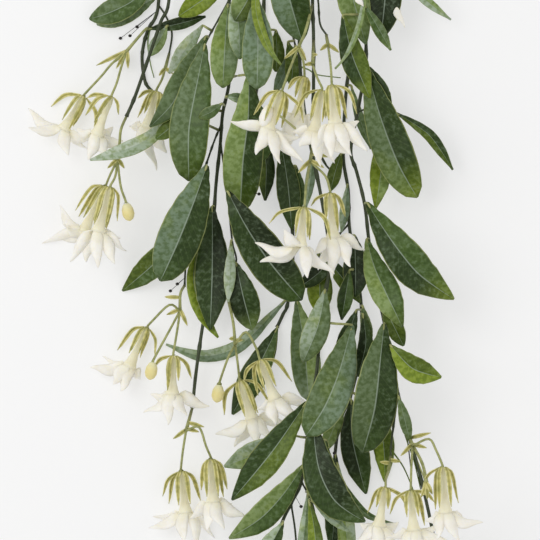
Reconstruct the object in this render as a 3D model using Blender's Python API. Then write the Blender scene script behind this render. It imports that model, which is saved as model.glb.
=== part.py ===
"""Madagascar jasmine: a cut bunch of trailing shoots in leaf and flower, laid down on a flat surface."""

import math
import random

import bmesh
import bpy
import numpy as np
from mathutils import Vector

# The plan is drawn on a square grid, u to the right and v towards the tips of the shoots.
STEP = 0.00075
MIDDLE = 270
SEED = 7

# The pile: what is laid later rests on what was laid before, with this much air between.
CELL = 0.0015
CELLS = 620
AIR = 0.0009
MOST_SLOPE = 0.5

STEM_RADIUS = 0.0016
THIN_RADIUS = 0.0011
STEM_SIDES = 4
STALK_RADIUS = 0.001
SUNK_SHARE = 0.48
JOINT_INSET = 0.0013
BLADE_THICKNESS = 0.0008
BLADE_STATIONS = (0.0, 0.22, 0.52, 0.82, 1.0)
BLADE_WIDTHS = (0.3, 0.88, 1.0, 0.66, 0.08)
NARROW = 9.5
NARROW_STATIONS = (0.0, 0.32, 0.72, 1.0)
NARROW_WIDTHS = (0.35, 1.0, 0.82, 0.08)
BLADE_ARCH = 0.05

SEAT_GAP = 0.0003
TUBE_RADII = (0.0017, 0.0026, 0.002, 0.0023)
TUBE_SHARES = (0.0, 0.12, 0.4, 0.8)
LOBE = dict(rim=0.0044, wall=0.0009, depth=0.002, sweep=math.radians(24), half=0.0043)
SEPAL = dict(rim=0.0031, wall=0.0009, depth=0.0, sweep=math.radians(26), half=0.0023)
CALYX_START = (-0.0045, 0.0005)
SEPAL_BULGE = 0.0062
SEPAL_BEND = 0.006
PETALS = 5
DEEPEST = 0.010
FILL_OUT = 0.004
SHALLOWEST = 0.008
FANS = {1: (0,), 2: (-32, 32), 3: (0, -58, 58), 4: (-25, 25, -75, 75), 5: (0, -40, 40, -80, 80)}
BUD_RADIUS = 0.0044
BUD_LENGTH = 0.0135

BASE_RADIUS = 0.0055
BASE_ROUTE = ((284, -262), (282, -225), (279, -196))

WOOD = ("woody_stem", (0.10, 0.085, 0.055), 0.8)
GREEN = ("leaf_green", (0.045, 0.085, 0.03), 0.45)
CREAM = ("petal_cream", (0.82, 0.78, 0.66), 0.55)
YELLOW = ("bud_yellow", (0.78, 0.72, 0.40), 0.55)

# How high the stems of the upper shoots ride, where nothing under them holds them higher.
LEVELS = {"shoot_middle": 0.018, "shoot_lower": 0.026, "shoot_right": 0.034, "shoot_front_centre": 0.05}
ROOT_SHARE = 0.5

# Each shoot in the order it is laid: its stems, then leaves and sprays in the order they lie.
# A leaf is (half width, points from stalk to tip). A spray is a dictionary.
SHOOTS = (
    ("shoot_back_centre", (
        (STEM_RADIUS, ((262, -130), (265, -60), (263, 20), (259, 70), (256, 96), (264, 128), (281, 141),
                       (290, 160), (292, 210), (293, 260), (288, 303), (283, 315), (277, 328))),
        (THIN_RADIUS, ((265, -60), (284, -20), (290, 20), (296, 45))),
    ), (
        (8, ((276, 28), (277, 50), (276, 70))),
        (7, ((295, 45), (285, 70), (274, 92))),
        (8, ((288, 40), (293, 62), (291, 84))),
        (9, ((262, 130), (266, 165), (265, 200))),
        (16, ((255, 98), (258, 130), (262, 161))),
        (7, ((291, 166), (294, 180), (294, 197))),
        (8, ((296, 165), (298, 190), (297, 212))),
        (12, ((281, 141), (288, 185), (292, 229))),
        (7, ((288, 298), (268, 319), (238, 347), (202, 357), (165, 345))),
        (15, ((297, 300), (305, 350), (309, 402))),
        (14, ((277, 329), (256, 372), (232, 416))),
    )),
    ("shoot_back_right", (
        (STEM_RADIUS, ((372, -130), (368, -60), (360, -5), (352, 50), (346, 100), (344, 155), (349, 190),
                       (350, 225), (356, 262), (362, 304), (362, 350), (352, 395), (340, 425), (334, 470))),
        (THIN_RADIUS, ((344, 155), (330, 168), (312, 135))),
        (THIN_RADIUS, ((350, 225), (334, 240), (322, 252))),
    ), (
        (5, ((352, 84), (360, 115), (372, 148))),
        (5, ((314, 144), (311, 175), (306, 208))),
        (7, ((342, 152), (336, 170), (331, 190))),
        (5, ((348, 184), (346, 205), (342, 232))),
        (13, ((319, 253), (320, 285), (321, 315))),
        (9, ((335, 252), (320, 272), (300, 287))),
        (8, ((322, 253), (342, 277), (361, 303))),
        (13, ((355, 235), (356, 268), (356, 297))),
        (8, ((350, 270), (346, 295), (342, 320))),
        (8, ((357, 310), (349, 332), (337, 356))),
        (6, ((363, 306), (366, 324), (370, 347))),
        (8, ((363, 314), (366, 344), (358, 377))),
        (8, ((345, 402), (334, 430), (322, 457))),
        (11, ((362, 398), (383, 436), (386, 484))),
        (14, ((352, 401), (353, 440), (367, 496))),
        (10, ((336, 455), (336, 500), (332, 556))),
        (9, ((338, 465), (346, 520), (350, 590))),
    )),
    ("shoot_left_back", (
        (STEM_RADIUS, ((152, -130), (158, -60), (157, 5), (147, 27), (142, 45), (141, 60), (144, 80), (150, 89))),
        (THIN_RADIUS, ((157, 2), (165, 14), (171, 31), (168, 53))),
    ), (
        (11, ((154, -4), (130, 8), (95, 22))),
        (13, ((153, -19), (130, 0), (105, 12), (88, 17))),
        (6.5, ((147, 27), (176, 22), (205, 14))),
        (7, ((166, 24), (160, 36), (148, 54))),
        dict(route=((147, 27), (143, 29), (125, 50)), bracts=((111, 62), (95, 64), (115, 67), (127, 67)), flowers=(
            (((111, 62), (100, 75)), (82, 95), (62, 129),
             ((26, 107), (27, 127), (67, 155), (85, 147), (95, 136)), ((49, 105), (70, 124), (93, 131))),
            (((120, 67), (116, 82)), (110.5, 96), (96, 135),
             ((76, 128), (88, 160), (106, 155), (122, 140), (112, 126)),
             ((86, 97), (85, 115), (95, 118), (118, 114))),
        )),
        dict(route=((168, 53), (164, 68)), bracts=((158, 74), (172, 72)), flowers=(
            (((161, 78),), (155.5, 90), (146, 127),
             ((128, 125), (138, 150), (156, 170), (166, 152), (168, 132)), ((137, 97), (136, 118), (166, 114))),
        )),
    )),
    ("shoot_left_front", (
        (STEM_RADIUS, ((168, -130), (169, -60), (168, 0), (160, 20), (150, 50), (135, 95), (126, 116))),
    ), (
        dict(route=((126, 116), (120.6, 129), (119, 144), (117, 160)),
             bracts=((107, 168), (124, 168)), flowers=(
            (((110, 174),), (104, 186), (82, 232),
             ((40, 243), (59, 205), (51, 236), (85, 262), (64, 224)), ((74, 210), (80, 212), (94, 214))),
            (((115, 176),), (110, 187), (98, 232),
             ((70, 262), (126, 251), (115, 264), (98, 268), (120, 238)), ((95, 216), (105, 229), (117, 221))),
        ), buds=((((120.6, 186), (126, 203)), (126, 203), (130, 221)),)),
    )),
    ("shoot_middle", (
        (STEM_RADIUS, ((226, -130), (229, -60), (229, 0), (228, 40), (229, 80), (222.5, 112), (220, 143),
                       (215.5, 186), (212, 240), (206, 300), (200, 341), (195, 378), (192, 409))),
        (THIN_RADIUS, ((229, 0), (217, 20), (207, 38), (204, 46))),
        (THIN_RADIUS, ((222, 122), (214, 140), (206, 163))),
        (THIN_RADIUS, ((220, 143), (227, 191), (232, 241), (236, 263), (226, 296))),
        (THIN_RADIUS, ((206, 163), (190, 215), (186, 250), (184, 287))),
    ), (
        (8, ((180, 104), (152, 136), (122, 151), (90, 160))),
        (8, ((185, 115), (170, 128), (156, 139))),
        (11, ((226, -17), (200, 0), (178, 14))),
        (8, ((202, 24), (185, 48), (168, 72))),
        (14, ((206, 35), (190, 67), (173, 103), (150, 127))),
        (20, ((205, 45), (196, 90), (189, 131), (189, 181))),
        (14, ((228, 4), (225, 45), (223, 88))),
        (11, ((234, -5), (239, 30), (240, 60))),
        (6, ((222, 104), (212, 112), (199, 118))),
        (5, ((226, 97), (236, 98), (247, 101))),
        (20, ((249, 76), (248, 120), (243, 160), (240, 212))),
        (13, ((187, 225), (155, 262), (121, 291))),
        (8, ((198, 240), (193, 280), (203, 315), (218, 338))),
        (18, ((212, 206), (212, 268), (210, 330))),
        (15, ((236, 263), (243, 296), (252, 330))),
        (6, ((231, 241), (230, 270), (228, 302))),
        (22, ((207, 166), (195, 200), (178, 242), (160, 281))),
        (21, ((228, 192), (247, 228), (272, 265), (302, 300))),
        dict(route=((184, 287), (180, 294), (179.5, 311)),
             bracts=((164, 297), (166, 315), (187, 326)), flowers=(
            (((169, 305), (152, 321)), (146, 328.5), (128, 368),
             ((89, 368), (101, 357), (120, 392), (139, 380), (112, 385)), ((116, 351), (139, 351), (154, 357))),
            (((177, 330),), (173, 356), (172, 395),
             ((143, 413), (187, 416), (209, 407), (168, 425), (150, 395)), ((154, 367), (168, 386), (191, 379))),
        ), buds=((((169, 331), (159, 351)), (153, 362), (149, 381)),)),
        dict(route=((226, 296), (233, 322), (235, 345)), bracts=((229, 339), (243, 340)), flowers=(
            (((237.5, 362),), (240, 381.5), (252, 420),
             ((215, 435), (234, 448), (258, 446), (272, 440), (289, 424)), ((224, 416), (256, 410), (271, 406))),
            (((246, 332), (256, 348)), (260, 360), (275, 400),
             ((312, 404), (257, 410), (276, 425), (298, 420), (290, 392)), ((244, 381), (258, 396), (292, 382))),
        ), buds=((((228, 358), (221, 378)), (219, 385), (216, 405)),)),
        dict(route=((192, 409), (186, 431)), bracts=((204, 427), (173, 439), (199, 432)), flowers=(
            (((183, 450),), (180.5, 473), (185, 515),
             ((148, 530), (152, 519), (182, 545), (214, 540), (200, 552)), ((162, 498), (168, 506), (200, 503))),
            (((199, 427), (206, 446)), (210.6, 460), (213, 503),
             ((245, 517), (224, 530), (207, 531), (190, 520), (232, 505)), ((201, 491), (222, 494), (227, 490))),
        )),
    )),
    ("shoot_lower", (
        (STEM_RADIUS, ((300, -130), (302, -60), (300, 0), (300, 60), (306, 120), (322, 200), (330, 260), (322, 312),
                       (317, 368), (309, 425), (302, 480), (292, 503), (282, 524), (272, 560), (268, 620))),
        (THIN_RADIUS, ((302, 480), (314, 510), (318, 560), (322, 640))),
        (THIN_RADIUS, ((292, 503), (296, 540), (298, 600), (296, 660))),
    ), (
        (13, ((325, 290), (318, 325), (303, 362))),
        (13, ((295, 436), (260, 452), (224, 467))),
        (16, ((306, 402), (273, 450), (232, 500))),
        (14, ((303, 465), (284, 493), (261, 518), (229, 539))),
        (12, ((283, 522), (268, 550), (255, 580))),
        (6, ((308, 492), (304, 535), (300, 582))),
        (8, ((309, 500), (315, 535), (316, 582))),
        (5, ((312, 500), (330, 516), (349, 532))),
        (4, ((326, 440), (337, 476), (366, 515), (399, 527))),
        (19, ((313, 420), (318, 465), (335, 500), (365, 521))),
        (20, ((352, 325), (340, 368), (325, 405), (306, 435))),
        (13, ((268, 600), (248, 630), (232, 668))),
        (15, ((270, 575), (290, 612), (296, 655))),
        (14, ((320, 600), (345, 632), (352, 680))),
        (16, ((322, 632), (316, 668), (300, 706))),
        (13, ((296, 655), (276, 680), (258, 712))),
    )),
    ("shoot_right", (
        (STEM_RADIUS, ((352, -130), (356, -60), (364, 10), (366, 62), (358, 110), (351, 150), (357, 172), (365, 205),
                       (370, 247), (378, 290), (385, 325), (391, 352), (398, 392), (409, 435), (420, 474),
                       (433, 532), (440, 580), (444, 640))),
        (THIN_RADIUS, ((356, -60), (376, -20), (372, 5), (366, 40))),
        (THIN_RADIUS, ((376, -20), (384, -70))),
        (THIN_RADIUS, ((358, 110), (372, 108), (384, 120), (396, 112))),
        (THIN_RADIUS, ((398, 392), (392, 440), (391, 458))),
    ), (
        (17, ((384, -62), (386, -15), (381, 38))),
        (16, ((342, -56), (352, -5), (366, 44))),
        (11, ((384, 122), (382, 165), (376, 208))),
        (6, ((395, 112), (430, 135), (454, 169))),
        (8, ((364, 62), (378, 85), (392, 108))),
        (20, ((367, 68), (380, 115), (399, 165), (418, 197))),
        (13, ((343, 15), (352, 55), (370, 98))),
        (6, ((364, 5), (378, 28), (391, 50))),
        (5, ((392, -36), (425, -2), (452, 18))),
        (9, ((383, 302), (392, 322), (404, 346))),
        (22, ((384, 324), (379, 365), (374, 410), (363, 453))),
        (13, ((390, 345), (412, 368), (441, 377))),
        (6, ((398, 396), (404, 418), (410, 442))),
        (15, ((367, 239), (376, 272), (402, 327))),
        (19, ((367, 203), (385, 232), (416, 272), (454, 299))),
        (14, ((438, 565), (462, 592), (474, 630))),
        (14, ((442, 610), (425, 645), (420, 690))),
        (15, ((444, 640), (456, 672), (460, 712))),
        dict(route=((391, 458), (389, 470)), bracts=((380, 462), (401, 462)), flowers=(
            (((385, 478),), (384.5, 486), (378, 525),
             ((356, 540), (368, 556), (392, 548), (398, 521), (360, 522)), ((367, 512), (396, 493), (407, 509))),
        )),
        dict(route=((409, 435), (412, 445)), bracts=((426, 447), (400, 455), (430, 432)), flowers=(
            (((410, 466),), (409.4, 488), (412, 528),
             ((385, 535), (398, 560), (425, 562), (450, 540), (436, 522)), ((389, 512), (422, 519), (432, 499))),
            (((427, 437), (434, 448)), (440, 464.5), (443, 510),
             ((480, 519), (457, 538), (466, 524), (434, 536), (424, 518)), ((419, 494), (434, 502), (456, 500))),
        )),
    )),
    ("shoot_front_centre", (
        (STEM_RADIUS, ((316, -130), (314, -60), (312.5, 0), (313.5, 37), (313.5, 90), (313, 145))),
        (THIN_RADIUS, ((314, -60), (296, -70), (276, -56), (258, -40), (256, -4))),
        (THIN_RADIUS, ((314, -30), (318, 0), (320, 24), (327, 36))),
        (THIN_RADIUS, ((314, -60), (336, -62), (358, -48), (368, -32))),
    ), (
        (13, ((254, -22), (248, 0), (235, 22))),
        (19, ((276, -52), (288, -5), (302, 41))),
        (16, ((256, -2), (258, 45), (257, 90))),
        (5, ((258, -32), (256, 12), (268, 48), (281, 66))),
        (3, ((368, -30), (360, 22), (347, 54), (335, 69))),
        dict(route=((313, 145), (310, 162)), bracts=((330, 157), (298, 173), (324, 168)), flowers=(
            (((325, 176),), (330, 193.5), (333, 238),
             ((365, 250), (350, 267), (311, 254), (332, 278), (318, 270)), ((311, 206), (337, 226), (345, 217))),
            (((306, 186),), (304, 208), (300, 247),
             ((255, 243), (260, 262), (284, 230), (307, 278), (334, 274)), ((269, 224), (309, 236), (330, 240))),
        )),
        dict(route=((312.5, 4), (305, 33), (298, 49)), bracts=((284, 60), (306, 62)), flowers=(
            (((303, 62),), (304, 78), (298, 116),
             ((276, 140), (288, 148), (306, 146), (320, 128), (282, 128)), ((288, 90), (302, 99))),
            (((289, 72),), (281.6, 93), (268, 130),
             ((230, 122), (256, 156), (303, 163), (300, 138), (280, 165)), ((252, 121), (282, 124), (303, 124))),
        )),
        dict(route=((313.5, 40), (312.5, 66)), bracts=((317, 56), (304, 66)), flowers=(
            (((317, 80),), (321, 92), (314, 133),
             ((299, 148), (350, 155), (320, 168), (334, 164), (292, 132)), ((294, 119), (325, 116))),
        )),
        dict(route=((327, 36), (328, 46)), bracts=((320, 51), (339, 53)), flowers=(
            (((330, 70),), (331, 88), (334, 126),
             ((366, 153), (358, 123), (350, 158), (330, 160), (316, 150)), ((345, 122), (356, 119))),
        )),
    )),
)


def on_plan(point):
    return Vector(((point[0] - MIDDLE) * STEP, (MIDDLE - point[1]) * STEP, 0.0))


def along(points, share):
    """The point at this share of the length of a broken line."""
    lengths = [(b - a).length for a, b in zip(points, points[1:])]
    left = share * sum(lengths)
    for (a, b), length in zip(zip(points, points[1:]), lengths):
        if left <= length:
            return a.lerp(b, left / length)
        left -= length
    return points[-1].copy()


def smooth(points, pieces=2):
    """Points on a smooth curve through the given ones."""
    ends = [points[0] * 2 - points[1], *points, points[-1] * 2 - points[-2]]
    curve = [points[0].copy()]
    for p0, p1, p2, p3 in zip(ends, ends[1:], ends[2:], ends[3:]):
        for k in range(1, pieces + 1):
            t = k / pieces
            curve.append(0.5 * (2 * p1 + (p2 - p0) * t + (2 * p0 - 5 * p1 + 4 * p2 - p3) * t ** 2
                                + (3 * p1 - p0 - 3 * p2 + p3) * t ** 3))
    return curve


class Pile:
    """How high the bunch stands over each cell of the plan."""

    def __init__(self):
        self.top = np.zeros((CELLS, CELLS))

    def cells(self, corners, spread):
        low = corners.min(axis=0)
        high = corners.max(axis=0)
        first = np.floor((low[:2] - spread) / CELL).astype(int) + CELLS // 2
        last = np.ceil((high[:2] + spread) / CELL).astype(int) + CELLS // 2
        first = np.clip(first, 0, CELLS - 2)
        last = np.clip(last, first + 1, CELLS - 1)
        xs, ys = np.meshgrid(np.arange(first[0], last[0] + 1), np.arange(first[1], last[1] + 1), indexing="ij")
        px = (xs - CELLS // 2) * CELL
        py = (ys - CELLS // 2) * CELL
        (ax, ay, az), (bx, by, bz), (cx, cy, cz) = corners
        area = (bx - ax) * (cy - ay) - (by - ay) * (cx - ax)
        inside = np.ones(px.shape, bool)
        for (x0, y0), (x1, y1) in (((ax, ay), (bx, by)), ((bx, by), (cx, cy)), ((cx, cy), (ax, ay))):
            length = math.hypot(x1 - x0, y1 - y0)
            if length < 1e-9:
                continue
            side = ((x1 - x0) * (py - y0) - (y1 - y0) * (px - x0)) / length
            inside &= (side if area > 0 else -side) > -spread
        if abs(area) > 1e-12:
            wb = ((px - ax) * (cy - ay) - (py - ay) * (cx - ax)) / area
            wc = ((bx - ax) * (py - ay) - (by - ay) * (px - ax)) / area
            heights = np.clip(az + wb * (bz - az) + wc * (cz - az), low[2], high[2])
        else:
            heights = np.full(px.shape, high[2])
        return xs[inside], ys[inside], heights[inside]

    def add(self, verts, faces):
        points = np.array([tuple(v) for v in verts])
        for face in faces:
            for k in range(1, len(face) - 1):
                corners = points[[face[0], face[k], face[k + 1]]]
                xs, ys, heights = self.cells(corners, CELL * 0.8)
                np.maximum.at(self.top, (xs, ys), heights)

    def lift(self, verts, faces):
        """How far this must rise to clear the pile."""
        points = np.array([tuple(v) for v in verts])
        rise = -1.0
        for face in faces:
            for k in range(1, len(face) - 1):
                corners = points[[face[0], face[k], face[k + 1]]]
                xs, ys, heights = self.cells(corners, CELL * 0.8)
                if len(xs):
                    rise = max(rise, float((self.top[xs, ys] - heights).max()))
        return rise + AIR

    def height(self, point, reach):
        i = int(round(point.x / CELL)) + CELLS // 2
        j = int(round(point.y / CELL)) + CELLS // 2
        n = max(1, int(math.ceil(reach / CELL)))
        return float(self.top[i - n:i + n + 1, j - n:j + n + 1].max())


def ring_skin(rings):
    """Faces of a closed skin through rings of equal count."""
    count = len(rings[0])
    verts = [v for ring in rings for v in ring]
    faces = [tuple(range(count))[::-1], tuple(range(len(verts) - count, len(verts)))]
    for r in range(len(rings) - 1):
        for k in range(count):
            a, b = r * count + k, r * count + (k + 1) % count
            faces.append((a, b, b + count, a + count))
    return verts, faces


def tube(points, radii, sides=STEM_SIDES):
    rings = []
    for k, point in enumerate(points):
        before = points[max(k - 1, 0)]
        after = points[min(k + 1, len(points) - 1)]
        ahead = (after - before).normalized()
        across = ahead.cross(Vector((0, 0, 1)))
        if across.length < 0.2:
            across = ahead.cross(Vector((0, 1, 0)))
        across.normalize()
        up = across.cross(ahead).normalized()
        radius = radii[k] if isinstance(radii, (tuple, list)) else radii
        rings.append([point + across * radius * math.cos(a) + up * radius * math.sin(a)
                      for a in (2 * math.pi * (i + 0.5) / sides for i in range(sides))])
    return ring_skin(rings)


def lay_cord(pile, plan, radius, start=None, end=None, level=0.0):
    """Heights for a cord that lies on the pile, from a fixed start where one is given."""
    needs = []
    for k, point in enumerate(plan):
        need = 0.0
        for other in plan[max(k - 1, 0):k + 2]:
            steps = max(1, int((other - point).length / CELL))
            for s in range(steps + 1):
                need = max(need, pile.height(point.lerp(other, s / steps), radius + CELL * 0.6))
        needs.append(max(need + AIR + radius, level if k else level * ROOT_SHARE))
    runs = [0.0]
    for a, b in zip(plan, plan[1:]):
        runs.append(runs[-1] + (b - a).length)
    if start is not None:
        needs[0] = start
    if end is not None:
        needs[-1] = end
    heights = [max(n - MOST_SLOPE * abs(run - r) for n, r in zip(needs, runs)) for run in runs]
    if start is not None:
        heights[0] = start
    if end is not None:
        heights[-1] = end
    return [Vector((p.x, p.y, h)) for p, h in zip(plan, heights)]


def leaf(pile, stems, half_width, drawn, rng):
    """A blade laid on the pile, with a stalk that starts inside the nearest stem."""
    middle = smooth([on_plan(p) for p in drawn])
    length = sum((b - a).length for a, b in zip(middle, middle[1:]))
    narrow = half_width < NARROW
    stations, widths = (NARROW_STATIONS, NARROW_WIDTHS) if narrow else (BLADE_STATIONS, BLADE_WIDTHS)
    spots = [along(middle, s) for s in stations]
    lean = rng.uniform(-0.22, 0.22)
    arch = BLADE_ARCH * rng.uniform(0.3, 1.5) * length
    sides, halves, shape = [], [], []
    for k, share in enumerate(stations):
        ahead = (spots[min(k + 1, len(spots) - 1)] - spots[max(k - 1, 0)]).normalized()
        sides.append(Vector((-ahead.y, ahead.x, 0)))
        halves.append(max(half_width * STEP * widths[k], STALK_RADIUS * 0.8))
        shape.append(arch * 4 * share * (1 - share))
    needs = []
    for k in range(len(spots)):
        need = 0.0
        for other in spots[max(k - 1, 0):k + 2]:
            steps = max(1, int((other - spots[k]).length / CELL))
            for s in range(steps + 1):
                spot = spots[k].lerp(other, s / steps)
                for w in (-1, -0.5, 0, 0.5, 1):
                    need = max(need, pile.height(spot + sides[k] * halves[k] * w, CELL * 0.9)
                               - lean * halves[k] * w)
        needs.append(need + AIR + BLADE_THICKNESS - shape[k])
    runs = [s * length for s in stations]
    root = nearest_on(stems, spots[0])
    needs[0] = max(needs[0], root.z)
    heights = [max(n - MOST_SLOPE * abs(run - r) for n, r in zip(needs, runs)) + rise
               for run, rise in zip(runs, shape)]
    rings = []
    for spot, side, half, height in zip(spots, sides, halves, heights):
        out = side * half + Vector((0, 0, lean * half))
        centre = Vector((spot.x, spot.y, height))
        up = Vector((0, 0, BLADE_THICKNESS / 2))
        rings.append([centre - out - up, centre + out - up, centre + out + up, centre - out + up])
    base = Vector((spots[0].x, spots[0].y, heights[0]))
    flat = Vector((base.x - root.x, base.y - root.y, 0))
    stalk = [root]
    if flat.length > 0.004:
        plan = [Vector((root.x, root.y, 0)), Vector(((root.x + base.x) / 2, (root.y + base.y) / 2, 0)),
                Vector((base.x, base.y, 0))]
        stalk = lay_cord(pile, plan, STALK_RADIUS, start=root.z, end=base.z)[:2]
    elif flat.length < 0.002:
        rings.pop(0)
    ahead = (spots[1] - spots[0]).normalized()
    way = flat.normalized() if flat.length > 0.004 and flat.dot(ahead) > -0.3 * flat.length else ahead
    for k, point in enumerate(stalk):
        size = STALK_RADIUS if k else STALK_RADIUS * SUNK_SHARE
        side = Vector((-way.y, way.x, 0)) * size
        up = Vector((0, 0, size * 0.83))
        rings.insert(k, [point - side - up, point + side - up, point + side + up, point - side + up])
    return [plate_skin(rings)]


def plate_skin(rings):
    """Four points a ring, with both faces split along the same diagonals."""
    verts = [v for ring in rings for v in ring]
    last = len(verts) - 4
    faces = [(0, 1, 2), (0, 2, 3), (last, last + 2, last + 1), (last, last + 3, last + 2)]
    for a in range(0, last, 4):
        b = a + 4
        faces += [(a, b + 1, a + 1), (a, b, b + 1), (a + 3, a + 2, b + 2), (a + 3, b + 2, b + 3)]
        faces += [(a + 1, b + 1, b + 2), (a + 1, b + 2, a + 2), (a, b + 3, b), (a, a + 3, b + 3)]
    return verts, faces


def nearest_on(stems, point):
    best, found = 1e9, None
    for points in stems:
        for a, b in zip(points, points[1:]):
            flat = Vector((b.x - a.x, b.y - a.y))
            share = (Vector((point.x - a.x, point.y - a.y)).dot(flat)) / max(flat.length_squared, 1e-12)
            inset = min(0.3, JOINT_INSET / max(flat.length, 1e-6))
            spot = a.lerp(b, min(1.0 - inset, max(inset, share)))
            gap = math.hypot(spot.x - point.x, spot.y - point.y)
            if gap < best:
                best, found = gap, spot
    return found


def fanned(seat, ahead, tips):
    """Each tip as (run along the axis, angle about it, distance out), spread in depth as petals are."""
    across = Vector((-ahead.y, ahead.x, 0))
    places = []
    for tip in tips:
        offset = on_plan(tip) - seat
        places.append((offset.dot(ahead), offset.dot(across)))
    for k in range(PETALS - len(places)):
        reach = sum(run for run, _ in places[:len(tips)]) / len(tips)
        places.append((reach, FILL_OUT if k % 2 else -FILL_OUT))
    found = []
    for sign in (1, -1):
        side = sorted((p for p in places if (p[1] >= 0) == (sign > 0)), key=lambda p: -abs(p[1]))
        if not side:
            continue
        for (run, out), turn in zip(side, FANS[len(side)]):
            deep = min(abs(out) * abs(math.tan(math.radians(turn))), DEEPEST)
            if abs(out) < 0.006:
                deep = max(deep, SHALLOWEST)
            deep = math.copysign(deep, turn if turn else 1)
            found.append((run, math.atan2(deep, out), math.hypot(deep, out)))
    return sorted(found, key=lambda f: f[1] % (2 * math.pi))


def cup_skin(seat, ahead, tube_rings, length, rim, wall, depth, sweep, half, tips):
    """One closed skin: a tube that opens at its rim into five blades."""
    across = Vector((-ahead.y, ahead.x, 0))

    def spot(run, angle, out):
        return seat + ahead * run + (across * math.cos(angle) + Vector((0, 0, math.sin(angle)))) * out

    count = PETALS
    turns = [angle % (2 * math.pi) for _, _, _, angle, _ in tips]
    start = sum(t - 2 * math.pi * k / count for k, t in enumerate(turns)) / count
    even = [start + 2 * math.pi * k / count for k in range(count)]
    middles = [e + (t - e) * 0.5 for e, t in zip(even, turns)]
    verts, faces = [], [tuple(range(count))[::-1]]
    for run, radius in tube_rings:
        verts += [spot(run, a, radius) for a in even]
    top = len(verts) - count
    for r in range(0, top, count):
        for k in range(count):
            a, b = r + k, r + (k + 1) % count
            faces += [(a, b, b + count), (a, b + count, a + count)]
    first_rim = len(verts)
    for angle in middles:
        for turn in (-sweep, sweep):
            verts.append(spot(length - wall * 0.6, angle + turn, rim))
            verts.append(spot(length, angle + turn, rim - wall))
    centre = len(verts)
    verts.append(spot(length - depth, 0, 0))

    def at(k, side, inner):
        return first_rim + (k % count) * 4 + side * 2 + inner

    for k in range(count):
        a, b = top + k, top + (k + 1) % count
        faces.append((a, at(k, 1, 0), at(k, 0, 0)))
        faces += [(a, b, at(k + 1, 0, 0)), (a, at(k + 1, 0, 0), at(k, 1, 0))]
        faces += [(at(k, 1, 0), at(k + 1, 0, 0), at(k + 1, 0, 1)), (at(k, 1, 0), at(k + 1, 0, 1), at(k, 1, 1))]
        faces += [(at(k, 0, 1), at(k, 1, 1), centre), (at(k, 1, 1), at(k + 1, 0, 1), centre)]
    for k, ((body_run, body_out, run, _, out), turn) in enumerate(zip(tips, turns)):
        near = middles[k] + (turn - middles[k]) * 0.6
        body, tip = spot(body_run, near, body_out), spot(run, turn, out)
        outward = across * math.cos(near) + Vector((0, 0, math.sin(near)))
        side = ahead.cross(outward).normalized()
        line = (tip - spot(length, middles[k], rim)).normalized()
        normal = side.cross(line).normalized()
        if normal.dot(ahead - outward) < 0:
            normal = -normal
        ring = [at(k, 0, 0), at(k, 1, 0), at(k, 1, 1), at(k, 0, 1)]
        for point, reach in ((body, half), (tip, 0.0005)):
            first = len(verts)
            up = normal * wall / 2
            verts += [point - side * reach - up, point + side * reach - up,
                      point + side * reach + up, point - side * reach + up]
            a, b = ring, [first, first + 1, first + 2, first + 3]
            faces += [(a[0], a[1], b[1]), (a[0], b[1], b[0]), (a[3], b[2], a[2]), (a[3], b[3], b[2])]
            faces += [(a[1], a[2], b[2]), (a[1], b[2], b[1]), (a[0], b[0], b[3]), (a[0], b[3], a[3])]
            ring = b
        faces += [(ring[0], ring[1], ring[2]), (ring[0], ring[2], ring[3])]
    return verts, faces


def flower(seat, throat, lobes, sepals):
    """The skins of one corolla and of the calyx that holds it, about a level axis."""
    ahead = (throat - seat).normalized()
    length = (throat - seat).length
    rings = [(SEAT_GAP + (length - SEAT_GAP) * share, radius) for share, radius in zip(TUBE_SHARES, TUBE_RADII)]
    tips = []
    for run, angle, out in fanned(seat, ahead, lobes):
        body_run = length + (run - length) * 0.4 + 0.003
        tips.append((body_run, LOBE["rim"] + (out - LOBE["rim"]) * 0.47, run, angle, out))
    corolla = cup_skin(seat, ahead, rings, length, tips=tips, **LOBE)
    tips = []
    for run, angle, out in fanned(seat, ahead, sepals):
        run = min(run, length - 0.006)
        tips.append((min(run * 0.33, SEPAL_BEND), max(out * 0.72, SEPAL_BULGE), run, angle, max(out, SEPAL_BULGE)))
    calyx = cup_skin(seat, ahead, [CALYX_START], 0.0, tips=tips, **SEPAL)
    return corolla, calyx


def bud(seat, tip):
    ahead = (tip - seat).normalized()
    shares = (0.0, 0.25, 0.6, 0.88, 1.0)
    radii = (0.0016, 0.0031, BUD_RADIUS, 0.003, 0.0008)
    points = [seat + ahead * (SEAT_GAP + BUD_LENGTH * s) for s in shares]
    return tube(points, radii, 5)


def raised(solids, rise):
    return [([v + Vector((0, 0, rise)) for v in verts], faces) for verts, faces in solids]


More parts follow.
